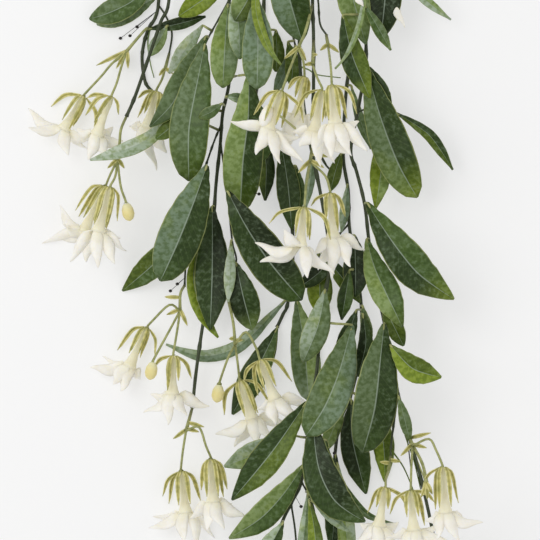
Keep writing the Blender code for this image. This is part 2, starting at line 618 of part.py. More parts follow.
def solid_object(name, solids, look):
    """One object from overlapping closed solids, joined by a Boolean."""
    helpers = bpy.data.collections.new(name + "_pieces")
    bpy.context.scene.collection.children.link(helpers)
    made = []
    for k, (verts, faces) in enumerate(solids):
        mesh = bpy.data.meshes.new(f"{name}_{k}")
        mesh.from_pydata([tuple(v) for v in verts], [], faces)
        work = bmesh.new()
        work.from_mesh(mesh)
        bmesh.ops.recalc_face_normals(work, faces=work.faces)
        bmesh.ops.triangulate(work, faces=[f for f in work.faces if len(f.verts) > 3], quad_method="SHORT_EDGE")
        if work.calc_volume(signed=True) < 0:
            bmesh.ops.reverse_faces(work, faces=work.faces)
        work.to_mesh(mesh)
        work.free()
        made.append(bpy.data.objects.new(mesh.name, mesh))
    first = made[0]
    bpy.context.scene.collection.objects.link(first)
    for obj in made[1:]:
        helpers.objects.link(obj)
    if len(made) > 1:
        union = first.modifiers.new("union", "BOOLEAN")
        union.operation = "UNION"
        union.operand_type = "COLLECTION"
        union.collection = helpers
        union.solver = "MANIFOLD"
        bpy.context.view_layer.objects.active = first
        first.select_set(True)
        bpy.ops.object.modifier_apply(modifier=union.name)
        first.select_set(False)
    for obj in made[1:]:
        bpy.data.objects.remove(obj, do_unlink=True)
    bpy.data.collections.remove(helpers)
    first.name = name
    first.data.name = name
    first.data.materials.clear()
    first.data.materials.append(material(*look))
    return first


def material(name, colour, roughness):
    found = bpy.data.materials.get(name)
    if found:
        return found
    found = bpy.data.materials.new(name)
    found.use_nodes = True
    shader = found.node_tree.nodes["Principled BSDF"]
    shader.inputs["Base Color"].default_value = (*colour, 1)
    shader.inputs["Roughness"].default_value = roughness
    return found


def main():
    for obj in list(bpy.data.objects):
        bpy.data.objects.remove(obj, do_unlink=True)
    rng = random.Random(SEED)
    pile = Pile()
    nodes, roots = {}, []
    blooms, buds = 0, 0
    for name, stem_rows, items in SHOOTS:
        solids, stems = [], []

        def keep(parts):
            for verts, faces in parts:
                pile.add(verts, faces)
            solids.extend(parts)

        laid = []
        for radius, drawn in stem_rows:
            plan = [on_plan(p) for p in drawn]
            start = nearest_on(stems, plan[0])
            if start:
                plan[0] = Vector((start.x, start.y, 0))
            route = lay_cord(pile, plan, radius, start=start.z if start else None, level=LEVELS.get(name, 0.0))
            stems.append(route)
            laid.append(tube(route, radius))
        roots.append((stems[0][0], (stems[0][1] - stems[0][0]).normalized()))
        keep(laid)
        for item in items:
            if not isinstance(item, dict):
                keep(leaf(pile, stems, item[0], item[1], rng))
                continue
            plan = [on_plan(p) for p in item["route"]]
            start = nearest_on(stems, plan[0])
            plan[0] = Vector((start.x, start.y, 0))
            route = lay_cord(pile, plan, THIN_RADIUS, start=start.z)
            keep([tube(route, THIN_RADIUS)])
            node = route[-1]
            for drawn in item["bracts"]:
                tip = on_plan(drawn)
                tip.z = node.z + 0.002
                origin = nearest_on([route], tip)
                ahead = (tip - origin).normalized()
                side = ahead.cross(Vector((0, 0, 1))).normalized()
                up = side.cross(ahead).normalized() * BLADE_THICKNESS / 2
                rings = []
                for point, half in ((origin - ahead * 0.0008, 0.0016), (tip, 0.001)):
                    rings.append([point + side * half - up, point - side * half - up,
                                  point - side * half + up, point + side * half + up])
                keep([plate_skin(rings)])
            for via, seat, throat, lobes, sepals in item["flowers"]:
                seat, throat = on_plan(seat), on_plan(throat)
                corolla, calyx = flower(seat, throat, lobes, sepals)
                rise = max(pile.lift(*corolla), pile.lift(*calyx))
                corolla, calyx = raised([corolla], rise), raised([calyx], rise)
                seat.z = throat.z = rise
                stop = seat - (throat - seat).normalized() * 0.002
                plan = [Vector((node.x, node.y, 0)), *(on_plan(p) for p in via), Vector((stop.x, stop.y, 0))]
                route = lay_cord(pile, plan, THIN_RADIUS, start=node.z, end=stop.z)
                keep([tube(route, THIN_RADIUS * 0.9)])
                keep(calyx)
                for verts, faces in corolla:
                    pile.add(verts, faces)
                blooms += 1
                nodes[f"bloom_{blooms:02d}"] = (corolla, CREAM)
            for via, seat, tip in item.get("buds", ()):
                seat, tip = on_plan(seat), on_plan(tip)
                shape = bud(seat, tip)
                cup = tube([seat - (tip - seat).normalized() * 0.003, seat], (0.0012, 0.0022), 5)
                rise = max(pile.lift(*shape), pile.lift(*cup))
                shape, cup = raised([shape], rise), raised([cup], rise)
                stop = seat - (tip - seat).normalized() * 0.002
                plan = [Vector((node.x, node.y, 0)), *(on_plan(p) for p in via[:-1]), Vector((stop.x, stop.y, 0))]
                keep([tube(lay_cord(pile, plan, THIN_RADIUS, start=node.z, end=rise), THIN_RADIUS * 0.9)])
                keep(cup)
                for verts, faces in shape:
                    pile.add(verts, faces)
                buds += 1
                nodes[f"bud_{buds:02d}"] = (shape, YELLOW)
        nodes[name] = (solids, GREEN)

    base = [on_plan(p) + Vector((0, 0, BASE_RADIUS)) for p in BASE_ROUTE]
    wood = [tube(base, (BASE_RADIUS, BASE_RADIUS * 0.95, BASE_RADIUS * 0.9), 10)]
    for root, ahead in roots:
        end = root - ahead * SEAT_GAP
        knee = end - ahead * 0.018
        knee.z = max(knee.z, STEM_RADIUS * 1.3)
        start = base[-1] + Vector((0, 0.006, 0))
        wood.append(tube([start, start.lerp(knee, 0.55) + Vector((0, 0.004, 0)), knee, end],
                         (STEM_RADIUS * 1.5, STEM_RADIUS * 1.4, STEM_RADIUS * 1.2, STEM_RADIUS)))
    nodes["woody_base"] = (wood, WOOD)

    corners = np.array([tuple(v) for solids, _ in nodes.values() for verts, _ in solids for v in verts])
    low, high = corners.min(axis=0), corners.max(axis=0)
    shift = Vector((-(low[0] + high[0]) / 2, -(low[1] + high[1]) / 2, -low[2]))
    print("plan shift", tuple(round(s * 1000, 2) for s in shift), "size", np.round((high - low) * 1000, 1))
    for name, (solids, look) in nodes.items():
        moved = [([v + shift for v in verts], faces) for verts, faces in solids]
        solid_object(name, moved, look)


main()
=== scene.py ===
import math
import random

import bmesh
import bpy
import numpy as np
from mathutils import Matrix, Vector


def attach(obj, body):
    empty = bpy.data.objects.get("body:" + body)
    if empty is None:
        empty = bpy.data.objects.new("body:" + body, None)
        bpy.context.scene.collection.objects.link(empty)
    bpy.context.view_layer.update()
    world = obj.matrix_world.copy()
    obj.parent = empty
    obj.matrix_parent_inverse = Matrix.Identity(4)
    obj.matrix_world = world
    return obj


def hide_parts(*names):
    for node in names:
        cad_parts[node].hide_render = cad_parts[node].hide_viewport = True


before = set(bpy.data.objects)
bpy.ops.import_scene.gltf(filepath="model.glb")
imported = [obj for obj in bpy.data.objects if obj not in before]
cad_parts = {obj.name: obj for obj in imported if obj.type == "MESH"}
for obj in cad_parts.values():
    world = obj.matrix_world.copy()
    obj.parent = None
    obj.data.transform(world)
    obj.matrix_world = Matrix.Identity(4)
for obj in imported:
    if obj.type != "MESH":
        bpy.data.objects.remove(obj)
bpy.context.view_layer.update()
print("frame loaded, nodes:", len(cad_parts))

# the plan is a square grid, u to the right and v towards the tips, as in the part's own source
step = 0.00075
middle = 270
planShift = Vector((0.01288, -0.0337, 0.0))

# camera: it looks straight down on the laid bunch
cameraSetup = {"lens": 400.0, "sensor": 36.0, "frameWidth": 540 * step, "focusHeight": 0.045,
               "farthest": 100}
cameraData = bpy.data.cameras.new("camera")
cameraData.lens = cameraSetup["lens"]
cameraData.sensor_width = cameraSetup["sensor"]
cameraData.clip_end = cameraSetup["farthest"]
camera = bpy.data.objects.new("camera", cameraData)
cameraReach = cameraSetup["frameWidth"] * cameraSetup["lens"] / cameraSetup["sensor"]
camera.location = (planShift.x, planShift.y, cameraSetup["focusHeight"] + cameraReach)
bpy.context.scene.collection.objects.link(camera)
bpy.context.scene.camera = camera
bpy.context.scene.view_settings.view_transform = "Standard"

# how the bunch is laid: the same numbers as the part's own source
laying = {"seed": 7, "cell": 0.0015, "cells": 620, "air": 0.0009, "mostSlope": 0.5}
stemRadius = 0.0016
thinRadius = 0.0011
stalkRadius = 0.001
jointInset = 0.0013
leafLaying = {
    "thickness": 0.0008, "arch": 0.05, "narrow": 9.5,
    "stations": (0.0, 0.22, 0.52, 0.82, 1.0), "widths": (0.3, 0.88, 1.0, 0.66, 0.08),
    "narrowStations": (0.0, 0.32, 0.72, 1.0), "narrowWidths": (0.35, 1.0, 0.82, 0.08),
}
flowerLaying = {
    "petals": 5, "seatGap": 0.0003, "deepest": 0.010, "shallowest": 0.008, "fillOut": 0.004,
    "tubeShares": (0.0, 0.12, 0.4, 0.8), "tubeRadii": (0.0017, 0.0026, 0.002, 0.0023),
    "lobe": {"rim": 0.0044, "wall": 0.0009, "depth": 0.002, "sweep": math.radians(24), "half": 0.0043},
    "sepal": {"rim": 0.0031, "wall": 0.0009, "depth": 0.0, "sweep": math.radians(26), "half": 0.0023},
    "calyxStart": (-0.0045, 0.0005), "sepalBulge": 0.0062, "sepalBend": 0.006,
    "fans": {1: (0,), 2: (-32, 32), 3: (0, -58, 58), 4: (-25, 25, -75, 75), 5: (0, -40, 40, -80, 80)},
    "budRadius": 0.0044, "budLength": 0.0135,
}
levels = {"shoot_middle": 0.018, "shoot_lower": 0.026, "shoot_right": 0.034, "shoot_front_centre": 0.05}
rootShare = 0.5
base = {"radius": 0.0055, "route": ((284, -262), (282, -225), (279, -196))}

# each shoot in the order it is laid: its stems, then leaves and sprays in the order they lie
# a leaf is (half width, tones of its two halves and its tip, points from stalk to tip); the tones hold the
# leaf's own colour together with painted shade and painted light
# a capital in the tones gives it a blunt outline, and a fourth letter a pointed one
shoots = (
    ("shoot_back_centre", (
        (stemRadius, ((262, -130), (265, -60), (263, 20), (259, 70), (256, 96), (264, 128), (281, 141),
                       (290, 160), (292, 210), (293, 260), (288, 303), (283, 315), (277, 328))),
        (thinRadius, ((265, -60), (284, -20), (290, 20), (296, 45))),
    ), (
        (8, "ooo", ((276, 28), (277, 50), (276, 70))),
        (7, "bbg", ((295, 45), (285, 70), (274, 92))),
        (8, "oom", ((288, 40), (293, 62), (291, 84))),
        (9, "odd", ((262, 130), (266, 165), (265, 200))),
        (16, "lmm", ((255, 98), (258, 130), (262, 161))),
        (7, "ddo", ((291, 166), (294, 180), (294, 197))),
        (8, "mmm", ((296, 165), (298, 190), (297, 212))),
        (12, "ddm", ((281, 141), (288, 185), (292, 229))),
        (7, "pbp", ((288, 298), (268, 319), (238, 347), (202, 357), (165, 345))),
        (15, "glP", ((297, 300), (305, 350), (309, 402))),
        (14, "dmd", ((277, 329), (256, 372), (232, 416))),
    )),
    ("shoot_back_right", (
        (stemRadius, ((372, -130), (368, -60), (360, -5), (352, 50), (346, 100), (344, 155), (349, 190),
                       (350, 225), (356, 262), (362, 304), (362, 350), (352, 395), (340, 425), (334, 470))),
        (thinRadius, ((344, 155), (330, 168), (312, 135))),
        (thinRadius, ((350, 225), (334, 240), (322, 252))),
    ), (
        (5, "ggg", ((352, 84), (360, 115), (372, 148))),
        (5, "pbp", ((314, 144), (311, 175), (306, 208))),
        (7, "oom", ((342, 152), (336, 170), (331, 190))),
        (5, "pbp", ((348, 184), (346, 205), (342, 232))),
        (13, "yoy", ((319, 253), (320, 285), (321, 315))),
        (9, "kdd", ((335, 252), (320, 272), (300, 287))),
        (8, "odo", ((322, 253), (342, 277), (361, 303))),
        (13, "kkd", ((355, 235), (356, 268), (356, 297))),
        (8, "dmd", ((350, 270), (346, 295), (342, 320))),
        (8, "ddd", ((357, 310), (349, 332), (337, 356))),
        (6, "ggm", ((363, 306), (366, 324), (370, 347))),
        (8, "kdd", ((363, 314), (366, 344), (358, 377))),
        (8, "llo", ((345, 402), (334, 430), (322, 457))),
        (11, "yoy", ((362, 398), (383, 436), (386, 484))),
        (14, "kdm", ((352, 401), (353, 440), (367, 496))),
        (10, "dkd", ((336, 455), (336, 500), (332, 556))),
        (9, "lpl", ((338, 465), (346, 520), (350, 590))),
    )),
    ("shoot_left_back", (
        (stemRadius, ((152, -130), (158, -60), (157, 5), (147, 27), (142, 45), (141, 60),
         (144, 80), (150, 89))),
        (thinRadius, ((157, 2), (165, 14), (171, 31), (168, 53))),
    ), (
        (11, "pgp", ((154, -4), (130, 8), (95, 22))),
        (13, "gmm", ((153, -19), (130, 0), (105, 12), (88, 17))),
        (6.5, "dkd", ((147, 27), (176, 22), (205, 14))),
        (7, "plp", ((166, 24), (160, 36), (148, 54))),
        dict(route=((147, 27), (143, 29), (125, 50)), bracts=((111, 62), (95, 64), (115, 67),
         (127, 67)), flowers=(
            (((111, 62), (100, 75)), (82, 95), (62, 129),
             ((26, 107), (27, 127), (67, 155), (85, 147), (95, 136)), ((49, 105), (70, 124), (93, 131))),
            (((120, 67), (116, 82)), (110.5, 96), (96, 135),
             ((76, 128), (88, 160), (106, 155), (122, 140), (112, 126)),
             ((86, 97), (85, 115), (95, 118), (118, 114))),
        )),
        dict(route=((168, 53), (164, 68)), bracts=((158, 74), (172, 72)), flowers=(
            (((161, 78),), (155.5, 90), (146, 127),
             ((128, 125), (138, 150), (156, 170), (166, 152), (168, 132)), ((137, 97), (136, 118),
              (166, 114))),
        )),
    )),
    ("shoot_left_front", (
        (stemRadius, ((168, -130), (169, -60), (168, 0), (160, 20), (150, 50), (135, 95), (126, 116))),
    ), (
        dict(route=((126, 116), (120.6, 129), (119, 144), (117, 160)),
             bracts=((107, 168), (124, 168)), flowers=(
            (((110, 174),), (104, 186), (82, 232),
             ((40, 243), (59, 205), (51, 236), (85, 262), (64, 224)), ((74, 210), (80, 212), (94, 214))),
            (((115, 176),), (110, 187), (98, 232),
             ((70, 262), (126, 251), (115, 264), (98, 268), (120, 238)), ((95, 216), (105, 229),
              (117, 221))),
        ), buds=((((120.6, 186), (126, 203)), (126, 203), (130, 221)),)),
    )),
    ("shoot_middle", (
        (stemRadius, ((226, -130), (229, -60), (229, 0), (228, 40), (229, 80), (222.5, 112), (220, 143),
                       (215.5, 186), (212, 240), (206, 300), (200, 341), (195, 378), (192, 409))),
        (thinRadius, ((229, 0), (217, 20), (207, 38), (204, 46))),
        (thinRadius, ((222, 122), (214, 140), (206, 163))),
        (thinRadius, ((220, 143), (227, 191), (232, 241), (236, 263), (226, 296))),
        (thinRadius, ((206, 163), (190, 215), (186, 250), (184, 287))),
    ), (
        (8, "wpw", ((180, 104), (152, 136), (122, 151), (90, 160))),
        (8, "oom", ((185, 115), (170, 128), (156, 139))),
        (11, "yyy", ((226, -17), (200, 0), (178, 14))),
        (8, "wpw", ((202, 24), (185, 48), (168, 72))),
        (14, "gmd", ((206, 35), (190, 67), (173, 103), (150, 127))),
        (20, "gmO", ((205, 45), (196, 90), (189, 131), (189, 181))),
        (14, "lgL", ((228, 4), (225, 45), (223, 88))),
        (11, "pgm", ((234, -5), (239, 30), (240, 60))),
        (6, "gmo", ((222, 104), (212, 112), (199, 118))),
        (5, "pgg", ((226, 97), (236, 98), (247, 101))),
        (20, "ldO", ((249, 76), (248, 120), (243, 160), (240, 212))),
        (13, "omop", ((187, 225), (155, 262), (121, 291))),
        (8, "yoy", ((198, 240), (193, 280), (203, 315), (218, 338))),
        (18, "dkd", ((212, 206), (212, 268), (210, 330))),
        (15, "kdl", ((236, 263), (243, 296), (252, 330))),
        (6, "wpw", ((231, 241), (230, 270), (228, 302))),
        (22, "bdM", ((207, 166), (195, 200), (178, 242), (160, 281))),
        (21, "dkM", ((228, 192), (247, 228), (272, 265), (302, 300))),
        dict(route=((184, 287), (180, 294), (179.5, 311)),
             bracts=((164, 297), (166, 315), (187, 326)), flowers=(
            (((169, 305), (152, 321)), (146, 328.5), (128, 368),
             ((89, 368), (101, 357), (120, 392), (139, 380), (112, 385)), ((116, 351), (139, 351),
              (154, 357))),
            (((177, 330),), (173, 356), (172, 395),
             ((143, 413), (187, 416), (209, 407), (168, 425), (150, 395)), ((154, 367),
              (168, 386), (191, 379))),
        ), buds=((((169, 331), (159, 351)), (153, 362), (149, 381)),)),
        dict(route=((226, 296), (233, 322), (235, 345)), bracts=((229, 339), (243, 340)), flowers=(
            (((237.5, 362),), (240, 381.5), (252, 420),
             ((215, 435), (234, 448), (258, 446), (272, 440), (289, 424)), ((224, 416),
              (256, 410), (271, 406))),
            (((246, 332), (256, 348)), (260, 360), (275, 400),
             ((312, 404), (257, 410), (276, 425), (298, 420), (290, 392)), ((244, 381),
              (258, 396), (292, 382))),
        ), buds=((((228, 358), (221, 378)), (219, 385), (216, 405)),)),
        dict(route=((192, 409), (186, 431)), bracts=((204, 427), (173, 439), (199, 432)), flowers=(
            (((183, 450),), (180.5, 473), (185, 515),
             ((148, 530), (152, 519), (182, 545), (214, 540), (200, 552)), ((162, 498),
              (168, 506), (200, 503))),
            (((199, 427), (206, 446)), (210.6, 460), (213, 503),
             ((245, 517), (224, 530), (207, 531), (190, 520), (232, 505)), ((201, 491),
              (222, 494), (227, 490))),
        )),
    )),
    ("shoot_lower", (
        (stemRadius, ((300, -130), (302, -60), (300, 0), (300, 60), (306, 120), (322, 200),
         (330, 260), (322, 312),
                       (317, 368), (309, 425), (302, 480), (292, 503), (282, 524), (272, 560), (268, 620))),
        (thinRadius, ((302, 480), (314, 510), (318, 560), (322, 640))),
        (thinRadius, ((292, 503), (296, 540), (298, 600), (296, 660))),
    ), (
        (13, "pgg", ((325, 290), (318, 325), (303, 362))),
        (13, "plpp", ((295, 436), (260, 452), (224, 467))),
        (16, "dod", ((306, 402), (273, 450), (232, 500))),
        (14, "lml", ((303, 465), (284, 493), (261, 518), (229, 539))),
        (12, "pdm", ((283, 522), (268, 550), (255, 580))),
        (6, "pgp", ((308, 492), (304, 535), (300, 582))),
        (8, "yoy", ((309, 500), (315, 535), (316, 582))),
        (5, "pbp", ((312, 500), (330, 516), (349, 532))),
        (4, "gmg", ((326, 440), (337, 476), (366, 515), (399, 527))),
        (19, "dkm", ((313, 420), (318, 465), (335, 500), (365, 521))),
        (20, "gbM", ((352, 325), (340, 368), (325, 405), (306, 435))),
        (13, "mgm", ((268, 600), (248, 630), (232, 668))),
        (15, "gmm", ((270, 575), (290, 612), (296, 655))),
        (14, "mmg", ((320, 600), (345, 632), (352, 680))),
        (16, "dmm", ((322, 632), (316, 668), (300, 706))),
        (13, "mmo", ((296, 655), (276, 680), (258, 712))),
    )),
    ("shoot_right", (
        (stemRadius, ((352, -130), (356, -60), (364, 10), (366, 62), (358, 110), (351, 150),
         (357, 172), (365, 205),
                       (370, 247), (378, 290), (385, 325), (391, 352), (398, 392), (409, 435), (420, 474),
                       (433, 532), (440, 580), (444, 640))),
        (thinRadius, ((356, -60), (376, -20), (372, 5), (366, 40))),
        (thinRadius, ((376, -20), (384, -70))),
        (thinRadius, ((358, 110), (372, 108), (384, 120), (396, 112))),
        (thinRadius, ((398, 392), (392, 440), (391, 458))),
    ), (
        (17, "kkd", ((384, -62), (386, -15), (381, 38))),
        (16, "llm", ((342, -56), (352, -5), (366, 44))),
        (11, "yly", ((384, 122), (382, 165), (376, 208))),
        (6, "odo", ((395, 112), (430, 135), (454, 169))),
        (8, "ddo", ((364, 62), (378, 85), (392, 108))),
        (20, "gdY", ((367, 68), (380, 115), (399, 165), (418, 197))),
        (13, "doy", ((343, 15), (352, 55), (370, 98))),
        (6, "mgl", ((364, 5), (378, 28), (391, 50))),
        (5, "plp", ((392, -36), (425, -2), (452, 18))),
        (9, "oom", ((383, 302), (392, 322), (404, 346))),
        (22, "gdM", ((384, 324), (379, 365), (374, 410), (363, 453))),
        (13, "yoyp", ((390, 345), (412, 368), (441, 377))),
        (6, "ggo", ((398, 396), (404, 418), (410, 442))),
        (15, "lmo", ((367, 239), (376, 272), (402, 327))),
        (19, "dmyp", ((367, 203), (385, 232), (416, 272), (454, 299))),
        (14, "mmg", ((438, 565), (462, 592), (474, 630))),
        (14, "gmm", ((442, 610), (425, 645), (420, 690))),
        (15, "mmo", ((444, 640), (456, 672), (460, 712))),
        dict(route=((391, 458), (389, 470)), bracts=((380, 462), (401, 462)), flowers=(
            (((385, 478),), (384.5, 486), (378, 525),
             ((356, 540), (368, 556), (392, 548), (398, 521), (360, 522)), ((367, 512),
              (396, 493), (407, 509))),
        )),
        dict(route=((409, 435), (412, 445)), bracts=((426, 447), (400, 455), (430, 432)), flowers=(
            (((410, 466),), (409.4, 488), (412, 528),
             ((385, 535), (398, 560), (425, 562), (450, 540), (436, 522)), ((389, 512),
              (422, 519), (432, 499))),
            (((427, 437), (434, 448)), (440, 464.5), (443, 510),
             ((480, 519), (457, 538), (466, 524), (434, 536), (424, 518)), ((419, 494),
              (434, 502), (456, 500))),
        )),
    )),
    ("shoot_front_centre", (
        (stemRadius, ((316, -130), (314, -60), (312.5, 0), (313.5, 37), (313.5, 90), (313, 145))),
        (thinRadius, ((314, -60), (296, -70), (276, -56), (258, -40), (256, -4))),
        (thinRadius, ((314, -30), (318, 0), (320, 24), (327, 36))),
        (thinRadius, ((314, -60), (336, -62), (358, -48), (368, -32))),
    ), (
        (13, "lod", ((254, -22), (248, 0), (235, 22))),
        (19, "bdm", ((276, -52), (288, -5), (302, 41))),
        (16, "bbG", ((256, -2), (258, 45), (257, 90))),
        (5, "yyl", ((258, -32), (256, 12), (268, 48), (281, 66))),
        (3, "plp", ((368, -30), (360, 22), (347, 54), (335, 69))),
        dict(route=((313, 145), (310, 162)), bracts=((330, 157), (298, 173), (324, 168)), flowers=(
            (((325, 176),), (330, 193.5), (333, 238),
             ((365, 250), (350, 267), (311, 254), (332, 278), (318, 270)), ((311, 206),
              (337, 226), (345, 217))),
            (((306, 186),), (304, 208), (300, 247),
             ((255, 243), (260, 262), (284, 230), (307, 278), (334, 274)), ((269, 224),
              (309, 236), (330, 240))),
        )),
        dict(route=((312.5, 4), (305, 33), (298, 49)), bracts=((284, 60), (306, 62)), flowers=(
            (((303, 62),), (304, 78), (298, 116),
             ((276, 140), (288, 148), (306, 146), (320, 128), (282, 128)), ((288, 90), (302, 99))),
            (((289, 72),), (281.6, 93), (268, 130),
             ((230, 122), (256, 156), (303, 163), (300, 138), (280, 165)), ((252, 121),
              (282, 124), (303, 124))),
        )),
        dict(route=((313.5, 40), (312.5, 66)), bracts=((317, 56), (304, 66)), flowers=(
            (((317, 80),), (321, 92), (314, 133),
             ((299, 148), (350, 155), (320, 168), (334, 164), (292, 132)), ((294, 119), (325, 116))),
        )),
        dict(route=((327, 36), (328, 46)), bracts=((320, 51), (339, 53)), flowers=(
            (((330, 70),), (331, 88), (334, 126),
             ((366, 153), (358, 123), (350, 158), (330, 160), (316, 150)), ((345, 122), (356, 119))),
        )),
    )),
)

berries = (  # where each berry lies, and the place that its thread runs back to
    ((119, 36), (151, 7)), ((129, 34), (151, 7)), ((136, 25), (151, 7)), ((177, 284), (172, 277)),
    ((170, 291), (172, 277)), ((259, 194), (252, 186)), ((334, 452), (338, 429)), ((301, 506), (299, 498)),
)


# laying: the pile, cords and leaves, as in the part's own source

def onPlan(point):
    return Vector(((point[0] - middle) * step, (middle - point[1]) * step, 0.0))


def alongLine(points, share):
    lengths = [(b - a).length for a, b in zip(points, points[1:])]
    left = share * sum(lengths)
    for (a, b), length in zip(zip(points, points[1:]), lengths):
        if left <= length:
            return a.lerp(b, left / length)
        left -= length
    return points[-1].copy()


def smoothLine(points, pieces=2):
    ends = [points[0] * 2 - points[1], *points, points[-1] * 2 - points[-2]]
    curve = [points[0].copy()]
    for p0, p1, p2, p3 in zip(ends, ends[1:], ends[2:], ends[3:]):
        for k in range(1, pieces + 1):
            t = k / pieces
            curve.append(0.5 * (2 * p1 + (p2 - p0) * t + (2 * p0 - 5 * p1 + 4 * p2 - p3) * t ** 2
                                + (3 * p1 - p0 - 3 * p2 + p3) * t ** 3))
    return curve


class Pile:
    def __init__(self):
        self.top = np.zeros((laying["cells"], laying["cells"]))

    def cellsUnder(self, corners, spread):
        cell, half = laying["cell"], laying["cells"] // 2
        low, high = corners.min(axis=0), corners.max(axis=0)
        first = np.clip(np.floor((low[:2] - spread) / cell).astype(int) + half, 0, laying["cells"] - 2)
        last = np.ceil((high[:2] + spread) / cell).astype(int) + half
        last = np.clip(last, first + 1, laying["cells"] - 1)
        spans = (np.arange(first[k], last[k] + 1) for k in (0, 1))
        xs, ys = np.meshgrid(*spans, indexing="ij")
        px, py = (xs - half) * cell, (ys - half) * cell
        (ax, ay, az), (bx, by, bz), (cx, cy, cz) = corners
        area = (bx - ax) * (cy - ay) - (by - ay) * (cx - ax)
        inside = np.ones(px.shape, bool)
        for (x0, y0), (x1, y1) in (((ax, ay), (bx, by)), ((bx, by), (cx, cy)), ((cx, cy), (ax, ay))):
            length = math.hypot(x1 - x0, y1 - y0)
            if length < 1e-9:
                continue
            side = ((x1 - x0) * (py - y0) - (y1 - y0) * (px - x0)) / length
            inside &= (side if area > 0 else -side) > -spread
        if abs(area) > 1e-12:
            wb = ((px - ax) * (cy - ay) - (py - ay) * (cx - ax)) / area
            wc = ((bx - ax) * (py - ay) - (by - ay) * (px - ax)) / area
            heights = np.clip(az + wb * (bz - az) + wc * (cz - az), low[2], high[2])
        else:
            heights = np.full(px.shape, high[2])
        return xs[inside], ys[inside], heights[inside]

    def triangles(self, skin):
        points = np.array([tuple(v) for v in skin[0]])
        for face in skin[1]:
            for k in range(1, len(face) - 1):
                yield self.cellsUnder(points[[face[0], face[k], face[k + 1]]], laying["cell"] * 0.8)

    def add(self, skin):
        for xs, ys, heights in self.triangles(skin):
            np.maximum.at(self.top, (xs, ys), heights)

    def lift(self, skin):
        rise = -1.0
        for xs, ys, heights in self.triangles(skin):
            if len(xs):
                rise = max(rise, float((self.top[xs, ys] - heights).max()))
        return rise + laying["air"]

    def height(self, point, reach):
        cell, half = laying["cell"], laying["cells"] // 2
        i, j = int(round(point.x / cell)) + half, int(round(point.y / cell)) + half
        n = max(1, int(math.ceil(reach / cell)))
        return float(self.top[i - n:i + n + 1, j - n:j + n + 1].max())


def ringSkin(rings):
    count = len(rings[0])
    verts = [v for ring in rings for v in ring]
    faces = [tuple(range(count))[::-1], tuple(range(len(verts) - count, len(verts)))]
    for r in range(len(rings) - 1):
        for k in range(count):
            a, b = r * count + k, r * count + (k + 1) % count
            faces.append((a, b, b + count, a + count))
    return verts, faces


def coarseTube(points, radii, sides=4):
    rings = []
    for k, point in enumerate(points):
        ahead = (points[min(k + 1, len(points) - 1)] - points[max(k - 1, 0)]).normalized()
        across = ahead.cross(Vector((0, 0, 1)))
        if across.length < 0.2:
            across = ahead.cross(Vector((0, 1, 0)))
        across.normalize()
        up = across.cross(ahead).normalized()
        radius = radii[k] if isinstance(radii, (tuple, list)) else radii
        rings.append([point + across * radius * math.cos(a) + up * radius * math.sin(a)
                      for a in (2 * math.pi * (i + 0.5) / sides for i in range(sides))])
    return ringSkin(rings)


def plateSkin(rings):
    verts = [v for ring in rings for v in ring]
    last = len(verts) - 4
    faces = [(0, 1, 2), (0, 2, 3), (last, last + 2, last + 1), (last, last + 3, last + 2)]
    for a in range(0, last, 4):
        b = a + 4
        faces += [(a, b + 1, a + 1), (a, b, b + 1), (a + 3, a + 2, b + 2), (a + 3, b + 2, b + 3)]
        faces += [(a + 1, b + 1, b + 2), (a + 1, b + 2, a + 2), (a, b + 3, b), (a, a + 3, b + 3)]
    return verts, faces


def layCord(pile, plan, radius, start=None, end=None, level=0.0):
    cell, air = laying["cell"], laying["air"]
    needs = []
    for k, point in enumerate(plan):
        need = 0.0
        for other in plan[max(k - 1, 0):k + 2]:
            steps = max(1, int((other - point).length / cell))
            for s in range(steps + 1):
                need = max(need, pile.height(point.lerp(other, s / steps), radius + cell * 0.6))
        needs.append(max(need + air + radius, level if k else level * rootShare))
    runs = [0.0]
    for a, b in zip(plan, plan[1:]):
        runs.append(runs[-1] + (b - a).length)
    if start is not None:
        needs[0] = start
    if end is not None:
        needs[-1] = end
    heights = [max(n - laying["mostSlope"] * abs(run - r) for n, r in zip(needs, runs)) for run in runs]
    if start is not None:
        heights[0] = start
    if end is not None:
        heights[-1] = end
    return [Vector((p.x, p.y, h)) for p, h in zip(plan, heights)]


def nearestOn(stems, point):
    best, found = 1e9, None
    for points in stems:
        for a, b in zip(points, points[1:]):
            flat = Vector((b.x - a.x, b.y - a.y))
            share = (Vector((point.x - a.x, point.y - a.y)).dot(flat)) / max(flat.length_squared, 1e-12)
            inset = min(0.3, jointInset / max(flat.length, 1e-6))
            spot = a.lerp(b, min(1.0 - inset, max(inset, share)))
            gap = math.hypot(spot.x - point.x, spot.y - point.y)
            if gap < best:
                best, found = gap, spot
    return found


